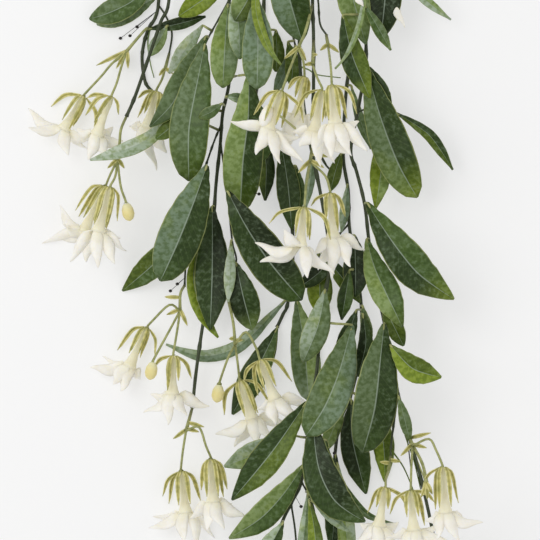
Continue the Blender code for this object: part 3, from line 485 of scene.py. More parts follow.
def layLeaf(pile, stems, halfWidth, drawn, rng):
    centre = smoothLine([onPlan(p) for p in drawn])
    length = sum((b - a).length for a, b in zip(centre, centre[1:]))
    narrow = halfWidth < leafLaying["narrow"]
    stations = leafLaying["narrowStations" if narrow else "stations"]
    widths = leafLaying["narrowWidths" if narrow else "widths"]
    spots = [alongLine(centre, s) for s in stations]
    lean = rng.uniform(-0.22, 0.22)
    arch = leafLaying["arch"] * rng.uniform(0.3, 1.5) * length
    sides, halves, shape = [], [], []
    for k, share in enumerate(stations):
        ahead = (spots[min(k + 1, len(spots) - 1)] - spots[max(k - 1, 0)]).normalized()
        sides.append(Vector((-ahead.y, ahead.x, 0)))
        halves.append(max(halfWidth * step * widths[k], stalkRadius * 0.8))
        shape.append(arch * 4 * share * (1 - share))
    needs = []
    for k in range(len(spots)):
        need = 0.0
        for other in spots[max(k - 1, 0):k + 2]:
            steps = max(1, int((other - spots[k]).length / laying["cell"]))
            for s in range(steps + 1):
                spot = spots[k].lerp(other, s / steps)
                for w in (-1, -0.5, 0, 0.5, 1):
                    need = max(need, pile.height(spot + sides[k] * halves[k] * w, laying["cell"] * 0.9)
                               - lean * halves[k] * w)
        needs.append(need + laying["air"] + leafLaying["thickness"] - shape[k])
    runs = [s * length for s in stations]
    root = nearestOn(stems, spots[0])
    needs[0] = max(needs[0], root.z)
    heights = [max(n - laying["mostSlope"] * abs(run - r) for n, r in zip(needs, runs)) + rise
               for run, rise in zip(runs, shape)]
    rings, ridge = [], []
    for spot, side, half, height in zip(spots, sides, halves, heights):
        out = side * half + Vector((0, 0, lean * half))
        point = Vector((spot.x, spot.y, height))
        ridge.append(point)
        up = Vector((0, 0, leafLaying["thickness"] / 2))
        rings.append([point - out - up, point + out - up, point + out + up, point - out + up])
    baseSpot = ridge[0]
    flat = Vector((baseSpot.x - root.x, baseSpot.y - root.y, 0))
    stalk = [root]
    if flat.length > 0.004:
        plan = [Vector((root.x, root.y, 0)),
                Vector(((root.x + baseSpot.x) / 2, (root.y + baseSpot.y) / 2, 0)),
                Vector((baseSpot.x, baseSpot.y, 0))]
        stalk = layCord(pile, plan, stalkRadius, start=root.z, end=baseSpot.z)[:2]
    elif flat.length < 0.002:
        rings.pop(0)
    ahead = (spots[1] - spots[0]).normalized()
    way = flat.normalized() if flat.length > 0.004 and flat.dot(ahead) > -0.3 * flat.length else ahead
    for k, point in enumerate(stalk):
        size = stalkRadius if k else stalkRadius * 0.48
        side, up = Vector((-way.y, way.x, 0)) * size, Vector((0, 0, size * 0.83))
        rings.insert(k, [point - side - up, point + side - up, point + side + up, point - side + up])
    return plateSkin(rings), {"ridge": ridge, "stations": stations, "stalk": stalk, "lean": lean,
                              "half": halfWidth * step, "centre": centre}


def fannedOut(seat, ahead, tips):
    across = Vector((-ahead.y, ahead.x, 0))
    places = []
    for tip in tips:
        offset = onPlan(tip) - seat
        places.append((offset.dot(ahead), offset.dot(across)))
    for k in range(flowerLaying["petals"] - len(places)):
        reach = sum(run for run, _ in places[:len(tips)]) / len(tips)
        places.append((reach, flowerLaying["fillOut"] if k % 2 else -flowerLaying["fillOut"]))
    found = []
    for sign in (1, -1):
        side = sorted((p for p in places if (p[1] >= 0) == (sign > 0)), key=lambda p: -abs(p[1]))
        if not side:
            continue
        for (run, out), turn in zip(side, flowerLaying["fans"][len(side)]):
            deep = min(abs(out) * abs(math.tan(math.radians(turn))), flowerLaying["deepest"])
            if abs(out) < 0.006:
                deep = max(deep, flowerLaying["shallowest"])
            deep = math.copysign(deep, turn if turn else 1)
            found.append((run, math.atan2(deep, out), math.hypot(deep, out)))
    return sorted(found, key=lambda f: f[1] % (2 * math.pi))


def spotAbout(seat, ahead, run, angle, out):
    across = Vector((-ahead.y, ahead.x, 0))
    return seat + ahead * run + (across * math.cos(angle) + Vector((0, 0, math.sin(angle)))) * out


def cupTurns(tips):
    count = flowerLaying["petals"]
    turns = [angle % (2 * math.pi) for _, _, _, angle, _ in tips]
    start = sum(t - 2 * math.pi * k / count for k, t in enumerate(turns)) / count
    even = [start + 2 * math.pi * k / count for k in range(count)]
    return turns, even, [e + (t - e) * 0.5 for e, t in zip(even, turns)]


def cupSkin(seat, ahead, tubeRings, length, tips, rim, wall, depth, sweep, half):
    count = flowerLaying["petals"]
    turns, even, middles = cupTurns(tips)
    verts, faces = [], [tuple(range(count))[::-1]]
    for run, radius in tubeRings:
        verts += [spotAbout(seat, ahead, run, a, radius) for a in even]
    top = len(verts) - count
    for r in range(0, top, count):
        for k in range(count):
            a, b = r + k, r + (k + 1) % count
            faces += [(a, b, b + count), (a, b + count, a + count)]
    firstRim = len(verts)
    for angle in middles:
        for turn in (-sweep, sweep):
            verts.append(spotAbout(seat, ahead, length - wall * 0.6, angle + turn, rim))
            verts.append(spotAbout(seat, ahead, length, angle + turn, rim - wall))
    centre = len(verts)
    verts.append(spotAbout(seat, ahead, length - depth, 0, 0))

    def at(k, side, inner):
        return firstRim + (k % count) * 4 + side * 2 + inner

    for k in range(count):
        a, b = top + k, top + (k + 1) % count
        faces.append((a, at(k, 1, 0), at(k, 0, 0)))
        faces += [(a, b, at(k + 1, 0, 0)), (a, at(k + 1, 0, 0), at(k, 1, 0))]
        faces += [(at(k, 1, 0), at(k + 1, 0, 0), at(k + 1, 0, 1)),
                  (at(k, 1, 0), at(k + 1, 0, 1), at(k, 1, 1))]
        faces += [(at(k, 0, 1), at(k, 1, 1), centre), (at(k, 1, 1), at(k + 1, 0, 1), centre)]
    for k, ((bodyRun, bodyOut, run, _, out), turn) in enumerate(zip(tips, turns)):
        near = middles[k] + (turn - middles[k]) * 0.6
        body = spotAbout(seat, ahead, bodyRun, near, bodyOut)
        tip = spotAbout(seat, ahead, run, turn, out)
        outward = Vector((-ahead.y, ahead.x, 0)) * math.cos(near) + Vector((0, 0, math.sin(near)))
        side = ahead.cross(outward).normalized()
        line = (tip - spotAbout(seat, ahead, length, middles[k], rim)).normalized()
        normal = side.cross(line).normalized()
        if normal.dot(ahead - outward) < 0:
            normal = -normal
        ring = [at(k, 0, 0), at(k, 1, 0), at(k, 1, 1), at(k, 0, 1)]
        for point, reach in ((body, half), (tip, 0.0005)):
            first = len(verts)
            up = normal * wall / 2
            verts += [point - side * reach - up, point + side * reach - up,
                      point + side * reach + up, point - side * reach + up]
            a, b = ring, [first, first + 1, first + 2, first + 3]
            faces += [(a[0], a[1], b[1]), (a[0], b[1], b[0]), (a[3], b[2], a[2]), (a[3], b[3], b[2])]
            faces += [(a[1], a[2], b[2]), (a[1], b[2], b[1]), (a[0], b[0], b[3]), (a[0], b[3], a[3])]
            ring = b
        faces += [(ring[0], ring[1], ring[2]), (ring[0], ring[2], ring[3])]
    return verts, faces


def flowerTips(seat, throat, lobes, sepals):
    ahead = (throat - seat).normalized()
    length = (throat - seat).length
    lobeTips, sepalTips = [], []
    for run, angle, out in fannedOut(seat, ahead, lobes):
        rim = flowerLaying["lobe"]["rim"]
        lobeTips.append((length + (run - length) * 0.4 + 0.003, rim + (out - rim) * 0.47, run, angle, out))
    for run, angle, out in fannedOut(seat, ahead, sepals):
        run, bulge = min(run, length - 0.006), flowerLaying["sepalBulge"]
        sepalTips.append((min(run * 0.33, flowerLaying["sepalBend"]), max(out * 0.72, bulge), run, angle,
                          max(out, bulge)))
    return ahead, length, lobeTips, sepalTips


def liftSkin(skin, rise):
    return [v + Vector((0, 0, rise)) for v in skin[0]], skin[1]


# fine shapes

# the leaf tones carry the leaves' own colours and also painted shade and painted light: the darkest stand for
# leaves lying in the shade of others, and a leaf's two halves differ where one is lit and the other shaded
palette = {  # tones read: dark, mid, grey, blue-grey, pale, white, olive, yellow, light
    "k": (38, 52, 20), "d": (54, 73, 31), "m": (80, 103, 50), "g": (106, 125, 86), "b": (117, 137, 110),
    "p": (166, 182, 156), "w": (196, 208, 188), "o": (90, 108, 34), "y": (132, 150, 48), "l": (136, 156, 96),
    "stem": (50, 49, 40), "spray": (172, 174, 116), "sepal": (150, 142, 42), "sepalEdge": (236, 228, 160),
    # the throat tone is the flower's own cream together with painted warm shade at the mouth of the tube
    "tube": (236, 232, 190), "throat": (243, 237, 206), "petal": (250, 247, 238), "petalTip": (246, 242, 230),
    "bud": (234, 220, 152), "wood": (84, 74, 56), "berry": (40, 34, 30),
}


def tone(name):
    return Vector([(c / 255) ** 2.2 for c in palette[name]])


class Piece:
    # one growing mesh with a tint on each corner and a UV that runs across and along
    def __init__(self, name):
        self.name = name
        self.mesh = bmesh.new()
        self.tint = self.mesh.loops.layers.float_color.new("tint")
        self.uv = self.mesh.loops.layers.uv.new("along")

    def sheet(self, columns, rows, place, tint, closed=False, capped=False):
        made = bmesh.ops.create_grid(self.mesh, x_segments=columns, y_segments=rows, size=0.5, calc_uvs=False)
        verts = made["verts"]
        params = {v: (v.co.x + 0.5, v.co.y + 0.5) for v in verts}
        faces = {f for v in verts for f in v.link_faces}
        for face in faces:
            face.smooth = True
            centre = sum(params[v][0] for v in face.verts) / len(face.verts)
            for loop in face.loops:
                u, v = params[loop.vert]
                loop[self.uv].uv = (u, v)
                colour = tint(u, v, centre)
                loop[self.tint] = (colour[0], colour[1], colour[2], 1.0)
        for vert in verts:
            vert.co = place(*params[vert])
        if closed:
            seam = [v for v in verts if params[v][0] < 1e-4 or params[v][0] > 1 - 1e-4]
            bmesh.ops.remove_doubles(self.mesh, verts=seam, dist=1e-7)
        if capped:
            ends = [v for v in verts if v.is_valid and (params[v][1] < 1e-4 or params[v][1] > 1 - 1e-4)]
            edges = {e for v in ends for e in v.link_edges if e.is_boundary}
            filled = bmesh.ops.holes_fill(self.mesh, edges=list(edges), sides=0)
            for face in filled["faces"]:
                for loop in face.loops:
                    colour = tint(0.5, 0.0, 0.5)
                    loop[self.tint] = (colour[0], colour[1], colour[2], 1.0)
        return verts

    def tube(self, points, radiusAt, tint, sides=8, pieces=3, capped=True):
        line = smoothLine(points, pieces) if len(points) > 2 else points
        count = len(line) - 1
        frames = []
        for k, point in enumerate(line):
            ahead = (line[min(k + 1, count)] - line[max(k - 1, 0)]).normalized()
            across = ahead.cross(Vector((0, 0, 1)))
            if across.length < 0.2:
                across = ahead.cross(Vector((0, 1, 0)))
            across.normalize()
            frames.append((point, across, across.cross(ahead).normalized()))

        def place(u, v):
            point, across, up = frames[int(round(v * count))]
            angle = 2 * math.pi * u
            return point + (across * math.cos(angle) + up * math.sin(angle)) * radiusAt(v)

        return self.sheet(sides, count, place, tint, closed=True, capped=capped)

    def finish(self, material, nodes, slotName, thickness=0.0):
        bmesh.ops.recalc_face_normals(self.mesh, faces=self.mesh.faces[:])
        data = bpy.data.meshes.new(self.name)
        self.mesh.to_mesh(data)
        self.mesh.free()
        data.materials.append(material)
        made = bpy.data.objects.new(self.name, data)
        bpy.context.scene.collection.objects.link(made)
        if thickness:
            solid = made.modifiers.new("thickness", "SOLIDIFY")
            solid.thickness = thickness
            solid.offset = 0.0
        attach(made, "root")
        if nodes:
            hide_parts(*nodes)
        return made


def profile(stops, share):
    for (a, x), (b, y) in zip(stops, stops[1:]):
        if share <= b:
            t = (share - a) / (b - a)
            return x + (y - x) * t * t * (3 - 2 * t) if x != y else x
    return stops[-1][1]


leafShape = {
    "outlines": (  # pointed, between, and blunt with a small point
        ((0, 0.1), (0.07, 0.27), (0.2, 0.56), (0.35, 0.83), (0.5, 0.98), (0.6, 1.0), (0.74, 0.85),
         (0.86, 0.56), (0.94, 0.28), (1.0, 0.02)),
        ((0, 0.1), (0.07, 0.27), (0.2, 0.56), (0.35, 0.82), (0.5, 0.97), (0.62, 1.0), (0.75, 0.9),
         (0.86, 0.68), (0.94, 0.39), (0.98, 0.18), (1.0, 0.03)),
        ((0, 0.1), (0.07, 0.27), (0.2, 0.56), (0.35, 0.82), (0.5, 0.97), (0.64, 1.0), (0.76, 0.94),
         (0.86, 0.79), (0.94, 0.53), (0.98, 0.27), (1.0, 0.04))),
    "mediumRatio": 0.16,
    "columns": 8, "rows": 20, "thickness": 0.0007, "fold": (0.12, 0.34), "wave": 0.05, "curl": 0.10,
}


def fineLeaf(piece, laid, tones, looks):
    shape = leafShape
    fine = smoothLine(laid["ridge"], 8)
    drawn = smoothLine(laid["centre"], 4)
    fold = looks.uniform(*shape["fold"])
    waves = looks.uniform(1.5, 3.5)
    phase = looks.uniform(0, 6.3)
    minus, plus, end = (tone(t.lower()) for t in tones[:3])
    ratio = laid["half"] / sum((b - a).length for a, b in zip(drawn, drawn[1:]))
    outline = shape["outlines"][1 if ratio >= shape["mediumRatio"] else 0]
    if len(tones) > 3:
        outline = shape["outlines"][0]
    elif tones[2].isupper():
        outline = shape["outlines"][2]
    shift = looks.uniform(-0.1, 0.1)
    half = laid["half"]

    def place(u, v):
        w = u * 2 - 1
        flat = alongLine(drawn, v)
        before, after = alongLine(drawn, max(v - 0.03, 0)), alongLine(drawn, min(v + 0.03, 1))
        ahead = (after - before).normalized()
        side = Vector((-ahead.y, ahead.x, 0))
        height = alongLine(fine, v).z
        reach = max(half * profile(outline, v), 0.0008)
        bend = reach * (fold * abs(w) - shape["curl"] * w * w)
        beat = waves * 2 * math.pi * v + phase + (2 if w > 0 else 0)
        ripple = reach * shape["wave"] * math.sin(beat) * w * w
        return Vector((flat.x, flat.y, height)) + side * reach * w + Vector(
            (0, 0, laid["lean"] * reach * w + bend + ripple))

    # each half keeps its own tone, painted shade and painted light included, and fades into the tip's tone
    # near the tip
    def tint(u, v, centre):
        colour = (minus if centre < 0.5 else plus).lerp(end, max(0.0, (v - 0.72) / 0.28) * 0.8)
        return colour * (1 + shift)

    piece.sheet(shape["columns"], shape["rows"], place, tint)


petalShape = {
    "lobe": ((0, 0.95), (0.2, 1.12), (0.38, 1.16), (0.58, 0.94), (0.76, 0.56), (0.9, 0.26), (1.0, 0.03)),
    "sepal": ((0, 0.42), (0.25, 0.64), (0.55, 0.66), (0.8, 0.44), (1.0, 0.03)),
    "facing": 0.62,
    "lobeThickness": 0.0006, "sepalThickness": 0.0006,
}


def blade(piece, start, body, tip, sideStart, side, normal, half, stops, twist, cup, columns, rows, tint,
          swayShare=0.0):
    sway = (tip - start).length * swayShare
    line = smoothLine([start, body, tip], 8)

    def place(u, v):
        w = u * 2 - 1
        point = alongLine(line, v)
        turn = twist * v
        across = side * math.cos(turn) + normal * math.sin(turn)
        lift = normal * math.cos(turn) - side * math.sin(turn)
        reach = half * profile(stops, v)
        point = point + (side * math.sin(math.pi * v) + side * v * math.sin(2 * math.pi * v)) * sway
        free = point + across * reach * w - lift * cup * reach * w * w
        held = sideStart(u)
        blend = min(1.0, v / 0.16)
        return held.lerp(free, blend * blend * (3 - 2 * blend))

    piece.sheet(columns, rows, place, tint)


def fineCup(piece, seat, ahead, length, tips, spec, kind, tint, looks, tubeStops=None):
    turns, even, middles = cupTurns(tips)
    count = flowerLaying["petals"]
    for k, ((bodyRun, bodyOut, run, _, out), turn) in enumerate(zip(tips, turns)):
        near = middles[k] + (turn - middles[k]) * 0.6
        start = spotAbout(seat, ahead, length, middles[k], spec["rim"])
        body = spotAbout(seat, ahead, bodyRun, near, bodyOut)
        tip = spotAbout(seat, ahead, run, turn, out)
        outward = Vector((-ahead.y, ahead.x, 0)) * math.cos(near) + Vector((0, 0, math.sin(near)))
        side = ahead.cross(outward).normalized()
        normal = side.cross((tip - start).normalized()).normalized()
        if normal.dot(ahead - outward) < 0:
            normal = -normal
        # the broad face is turned up to be seen, as the soft petals lie
        if abs(math.sin(turn)) < 0.9 or kind == "lobe":
            flat = (tip - start).cross(Vector((0, 0, 1))).normalized()
            flat = flat if flat.dot(side) > 0 else -flat
            side = side.lerp(flat, petalShape["facing"]).normalized()
            normal = (tip - start).cross(side).normalized()
            normal = normal if normal.z > 0 else -normal
        mouth = 1.2 if kind == "lobe" else 0.97
        left = (middles[k - 1] - (2 * math.pi if k == 0 else 0) + middles[k]) / 2
        right = (middles[(k + 1) % count] + (2 * math.pi if k == count - 1 else 0) + middles[k]) / 2

        def held(u, left=left, right=right, mouth=mouth):
            return spotAbout(seat, ahead, length, left + (right - left) * u, spec["rim"] * mouth)

        blade(piece, start, body, tip, held, side, normal, spec["half"], petalShape[kind],
              looks.uniform(-0.8, 0.8), looks.uniform(0.25, 0.6) if kind == "lobe" else -0.6, 6, 12, tint,
              looks.uniform(-0.1, 0.1) if kind == "lobe" else 0.0)
    if tubeStops:
        def place(u, v):
            return spotAbout(seat, ahead, flowerLaying["seatGap"] + (length - flowerLaying["seatGap"]) * v,
                             middles[0] + 2 * math.pi * u, profile(tubeStops, v))
        piece.sheet(15, 14, place, lambda u, v, c: tint(u, v - 1, c), closed=True)


# materials

class Maths:
    # wraps a socket, so that sums on values read as sums
    def __init__(self, tree, socket):
        self.tree, self.socket = tree, socket

    def join(self, operation, other, flipped=False):
        first, second = (other, self) if flipped else (self, other)
        return build(self.tree, "ShaderNodeMath", {"operation": operation}, {0: first, 1: second})

    def __add__(self, other):
        return self.join("ADD", other)

    def __radd__(self, other):
        return self.join("ADD", other, True)

    def __sub__(self, other):
        return self.join("SUBTRACT", other)

    def __rsub__(self, other):
        return self.join("SUBTRACT", other, True)

    def __mul__(self, other):
        return self.join("MULTIPLY", other)

    def __rmul__(self, other):
        return self.join("MULTIPLY", other, True)

    def __pow__(self, other):
        return self.join("POWER", other)

    def __abs__(self):
        return build(self.tree, "ShaderNodeMath", {"operation": "ABSOLUTE"}, {0: self})

    def sine(self):
        return build(self.tree, "ShaderNodeMath", {"operation": "SINE"}, {0: self})

    def between(self, low, high):
        settings = {"interpolation_type": "SMOOTHSTEP"}
        sockets = {"Value": self, "From Min": low, "From Max": high}
        return build(self.tree, "ShaderNodeMapRange", settings, sockets)


def build(tree, kind, settings=None, sockets=None, output=0):
    node = tree.nodes.new(kind)
    for name, value in (settings or {}).items():
        setattr(node, name, value)
    for key, value in (sockets or {}).items():
        if isinstance(value, Maths):
            tree.links.new(value.socket, node.inputs[key])
        else:
            node.inputs[key].default_value = value
    return Maths(tree, node.outputs[output])


def mixColours(tree, kind, factor, first, second):
    sockets = {"Factor": factor, 6: first, 7: second}
    return build(tree, "ShaderNodeMix", {"data_type": "RGBA", "blend_type": kind}, sockets, 2)


def startMaterial(name):
    made = bpy.data.materials.new(name)
    made.use_nodes = True
    tree = made.node_tree
    return made, tree, tree.nodes["Principled BSDF"]


def noise(tree, scale, detail=3.0, output=0):
    coords = build(tree, "ShaderNodeTexCoord", output=3)
    return build(tree, "ShaderNodeTexNoise", {}, {"Vector": coords, "Scale": scale, "Detail": detail}, output)


def bump(tree, shader, height, strength, distance):
    made = build(tree, "ShaderNodeBump", {}, {"Strength": strength, "Distance": distance, "Height": height})
    tree.links.new(made.socket, shader.inputs["Normal"])


def acrossAlong(tree):
    uv = build(tree, "ShaderNodeUVMap", {"uv_map": "along"})
    parts = tree.nodes.new("ShaderNodeSeparateXYZ")
    tree.links.new(uv.socket, parts.inputs[0])
    return Maths(tree, parts.outputs[0]), Maths(tree, parts.outputs[1])


leafLook = {"roughness": (0.36, 0.55), "specular": 0.28, "midrib": 0.024, "margin": 0.468, "veins": 17.0}


def leafMaterial():
    made, tree, shader = startMaterial("leaf_green")
    tint = build(tree, "ShaderNodeVertexColor", {"layer_name": "tint"})
    across, along = acrossAlong(tree)
    off = abs(across - 0.5)
    patches = noise(tree, 55.0, 4.0)
    speckle = noise(tree, 420.0, 2.0)
    mottle = noise(tree, 300.0, 5.0)
    shade = mixColours(tree, "MULTIPLY", 1.0, tint, (0.60, 0.66, 0.46, 1))
    base = mixColours(tree, "MIX", mottle.between(0.36, 0.6), shade, tint)
    warm = mixColours(tree, "MULTIPLY", 1.0, base, (1.15, 1.1, 0.55, 1))
    base = mixColours(tree, "MIX", patches.between(0.52, 0.72) * 0.6, base, warm)
    dusty = mottle.between(0.5, 0.7) * patches.between(0.3, 0.6) * 0.26
    base = mixColours(tree, "MIX", dusty, base, (0.27, 0.35, 0.25, 1))
    veinWave = ((along * leafLook["veins"] - off * 6.0) * 6.2832).sine()
    veins = veinWave.between(0.82, 1.0) * off.between(0.02, 0.08) * (1 - off.between(0.36, 0.46)) * 0.05
    base = mixColours(tree, "MIX", veins, base, (0.35, 0.42, 0.26, 1))
    rib = 1 - off.between(leafLook["midrib"] * 0.4, leafLook["midrib"])
    base = mixColours(tree, "MIX", rib * 0.6, base, (0.38, 0.46, 0.36, 1))
    margin = off.between(leafLook["margin"], leafLook["margin"] + 0.02)
    base = mixColours(tree, "MIX", margin * 0.55, base, (0.42, 0.46, 0.16, 1))
    tree.links.new(base.socket, shader.inputs["Base Color"])
    glossy, dull = leafLook["roughness"]
    rough = patches.between(0.3, 0.7) * (dull - glossy) + glossy
    tree.links.new(rough.socket, shader.inputs["Roughness"])
    shader.inputs["Specular IOR Level"].default_value = leafLook["specular"]
    bump(tree, shader, patches * 0.5 + speckle * 0.15 - veins * 1.5 - rib * 0.8, 0.5, 0.0008)
    return made


def tintedMaterial(name, darker, scale, roughness, strength, glowAndSubsurface=0.0):
    made, tree, shader = startMaterial(name)
    tint = build(tree, "ShaderNodeVertexColor", {"layer_name": "tint"})
    grain = noise(tree, scale, 4.0)
    fine = noise(tree, scale * 5, 2.0)
    base = mixColours(tree, "MULTIPLY", grain.between(0.35, 0.7), tint, (*darker, 1))
    tree.links.new(base.socket, shader.inputs["Base Color"])
    rough = fine * 0.16 + (roughness - 0.08)
    tree.links.new(rough.socket, shader.inputs["Roughness"])
    shader.inputs["Specular IOR Level"].default_value = 0.3
    # painted light: a cream emission makes the piece glow a little, though it is no lamp; the same number
    # also sets its subsurface translucency, which is real
    if glowAndSubsurface:
        shader.inputs["Emission Color"].default_value = (1.0, 0.97, 0.88, 1)
        shader.inputs["Emission Strength"].default_value = glowAndSubsurface * 0.35
        shader.inputs["Subsurface Weight"].default_value = glowAndSubsurface
        shader.inputs["Subsurface Radius"].default_value = (0.004, 0.003, 0.0016)
        shader.inputs["Subsurface Scale"].default_value = 1.0
    bump(tree, shader, grain + fine * 0.4, strength, 0.0006)
    return made


leafGreen = leafMaterial()
stemGreen = tintedMaterial("stem_green", (0.62, 0.66, 0.58), 260.0, 0.5, 0.5)
# the petals and the bud glow a little by emission, which is painted light, and are a little translucent
petalCream = tintedMaterial("petal_cream", (0.95, 0.93, 0.88), 150.0, 0.5, 0.18, 0.12)
budYellow = tintedMaterial("bud_yellow", (0.93, 0.93, 0.84), 180.0, 0.48, 0.25, 0.1)
woodBrown = tintedMaterial("woody_stem", (0.5, 0.48, 0.44), 210.0, 0.72, 0.9)
print("materials ready")


# the bunch, laid in the part's order

stemLook = {"nodeSwell": 0.28, "knotPower": 12, "slender": 0.8, "thinSlender": 0.68}
stalkLook = {"thick": 0.00105, "taper": 0.0003, "intoLeaf": 0.22}
bractLook = {"rise": 0.002, "behind": 0.0008, "footHalf": 0.0016, "tipHalf": 0.001, "fineFoot": 0.0012,
             "bend": 0.0012, "half": 0.0022}
sprayLook = {"short": 0.002, "slender": 0.82, "flare": 1.1, "hug": 0.75,
             "budStations": (0.0, 0.2, 0.4, 0.6, 0.8, 1.0)}
looksSeed = 23


def stemToneWithLitTop(u, v, centre):
    # painted highlight: the upper side of each stem tube is lightened towards grey-green, as if lit from
    # above; the steady part of the blend is the stem's own greyish tone
    return tone("stem").lerp(tone("g"), 0.12 + 0.16 * max(0.0, math.sin(2 * math.pi * u)))


def sprayTint(u, v, centre):
    return tone("stem").lerp(tone("spray"), min(1.0, 0.4 + v * 1.8))


def greenTint(u, v, centre):
    return tone("spray")


def sepalTint(u, v, centre):
    edge = abs(u - 0.5) * 2
    return tone("sepal").lerp(tone("sepalEdge"), min(1.0, 0.08 + edge * 0.8 + 0.12 * (1 - v)))


# the throat tone, at the tube's mouth and the lobes' feet, is partly the flower's own cream and partly
# painted warm shade where the lobes meet the tube; from there it fades to the white petal towards the lobes'
# tips and edges
def lobeTint(u, v, centre):
    if v < 0:  # the tube, from its foot at -1 to its mouth at 0
        return tone("tube").lerp(tone("throat"), min(1.0, (v + 1) * 1.3))
    edge = abs(u - 0.5) * 2
    colour = tone("throat").lerp(tone("petal"), min(1.0, v * 2.6 + edge * 0.35))
    return colour.lerp(tone("petalTip"), max(0.0, v - 0.7))


def budTint(u, v, centre):
    return tone("tube").lerp(tone("bud"), min(1.0, v * 2.2))


tubeStops = ((0, 0.0019), (0.14, 0.0025), (0.42, 0.0021), (0.66, 0.0026), (0.84, 0.0038), (1.0, 0.0054))
budStops = ((0, 0.0018), (0.12, 0.0033), (0.35, 0.0044), (0.62, 0.0046), (0.82, 0.0037), (0.94, 0.0022),
            (1, 0.0004))
rng = random.Random(laying["seed"])
looks = random.Random(looksSeed)
pile = Pile()
roots = []
bloomCount = 0
budCount = 0
allStems = []
allSprays = []
for name, stemRows, items in shoots:
    leaves, stemsPiece, sepalPiece = Piece(name + "_leaves"), Piece(name + "_stems"), Piece(name + "_sepals")
    stems, laidTubes = [], []
    for radius, drawn in stemRows:
        plan = [onPlan(p) for p in drawn]
        start = nearestOn(stems, plan[0])
        if start:
            plan[0] = Vector((start.x, start.y, 0))
        route = layCord(pile, plan, radius, start=start.z if start else None, level=levels.get(name, 0.0))
        stems.append(route)
        laidTubes.append(coarseTube(route, radius))
        swell = len(route)

        def stemSize(v, radius=radius, swell=swell):
            slender = stemLook["slender" if radius > thinRadius else "thinSlender"]
            knot = max(0.0, math.cos(2 * math.pi * v * swell)) ** stemLook["knotPower"]
            return radius * (slender + stemLook["nodeSwell"] * knot)

        # each stem takes its own dark tone with a painted highlight along its upper side
        stemsPiece.tube([p + planShift for p in route], stemSize, stemToneWithLitTop, 8, 6)
    allStems.extend(stems)
    roots.append((stems[0][0], (stems[0][1] - stems[0][0]).normalized()))
    for skin in laidTubes:
        pile.add(skin)
    for item in items:
        if not isinstance(item, dict):
            halfWidth, tones, drawn = item
            skin, laid = layLeaf(pile, stems, halfWidth, drawn, rng)
            pile.add(skin)
            laid["ridge"] = [p + planShift for p in laid["ridge"]]
            laid["centre"] = [p + planShift for p in laid["centre"]]
            fineLeaf(leaves, laid, tones, looks)
            ridge = laid["ridge"]
            stalkLine = [p + planShift for p in laid["stalk"]]
            stalkLine += [ridge[0], ridge[0].lerp(ridge[1], stalkLook["intoLeaf"])]
            stemsPiece.tube(stalkLine, lambda v: stalkLook["thick"] - stalkLook["taper"] * v, sprayTint, 6, 3)
            continue
        plan = [onPlan(p) for p in item["route"]]
        start = nearestOn(stems, plan[0])
        plan[0] = Vector((start.x, start.y, 0))
        route = layCord(pile, plan, thinRadius, start=start.z)
        pile.add(coarseTube(route, thinRadius))
        stemsPiece.tube([p + planShift for p in route],
                        lambda v: thinRadius * (0.95 + 0.35 * v ** 6), sprayTint, 8, 4)
        node = route[-1]
        allSprays.append(route)
        for drawn in item["bracts"]:
            tip = onPlan(drawn)
            tip.z = node.z + bractLook["rise"]
            origin = nearestOn([route], tip)
            ahead = (tip - origin).normalized()
            side = ahead.cross(Vector((0, 0, 1))).normalized()
            up = side.cross(ahead).normalized() * leafLaying["thickness"] / 2
            rings = []
            start = origin - ahead * bractLook["behind"]
            for point, half in ((start, bractLook["footHalf"]), (tip, bractLook["tipHalf"])):
                rings.append([point + side * half - up, point - side * half - up,
                              point - side * half + up, point + side * half + up])
            pile.add(plateSkin(rings))
            foot, end = origin + planShift, tip + planShift
            bent = foot.lerp(end, 0.5) + Vector((0, 0, bractLook["bend"]))
            blade(sepalPiece, foot, bent, end,
                  lambda u, foot=foot, side=side: foot + side * bractLook["fineFoot"] * (u * 2 - 1),
                  side, up.normalized(), bractLook["half"], petalShape["sepal"], 0.3, -0.4, 4, 7, sepalTint)
        for via, seat, throat, lobes, sepals in item["flowers"]:
            seat, throat = onPlan(seat), onPlan(throat)
            ahead, length, lobeTips, sepalTips = flowerTips(seat, throat, lobes, sepals)
            gap = flowerLaying["seatGap"]
            tubeRings = [(gap + (length - gap) * share, radius)
                         for share, radius in zip(flowerLaying["tubeShares"], flowerLaying["tubeRadii"])]
            corolla = cupSkin(seat, ahead, tubeRings, length, lobeTips, **flowerLaying["lobe"])
            calyx = cupSkin(seat, ahead, [flowerLaying["calyxStart"]], 0.0, sepalTips,
                            **flowerLaying["sepal"])
            rise = max(pile.lift(corolla), pile.lift(calyx))
            corolla, calyx = liftSkin(corolla, rise), liftSkin(calyx, rise)
            seat.z = throat.z = rise
            stop = seat - (throat - seat).normalized() * sprayLook["short"]
            plan = [Vector((node.x, node.y, 0)), *(onPlan(p) for p in via), Vector((stop.x, stop.y, 0))]
            cord = layCord(pile, plan, thinRadius, start=node.z, end=stop.z)
            for skin in (coarseTube(cord, thinRadius * 0.9), calyx, corolla):
                pile.add(skin)
            here = seat + planShift
            stemsPiece.tube([p + planShift for p in cord] + [here],
                            lambda v: thinRadius * (sprayLook["slender"] + sprayLook["flare"] * v ** 14),
                            greenTint, 8, 4)
            longTips = []
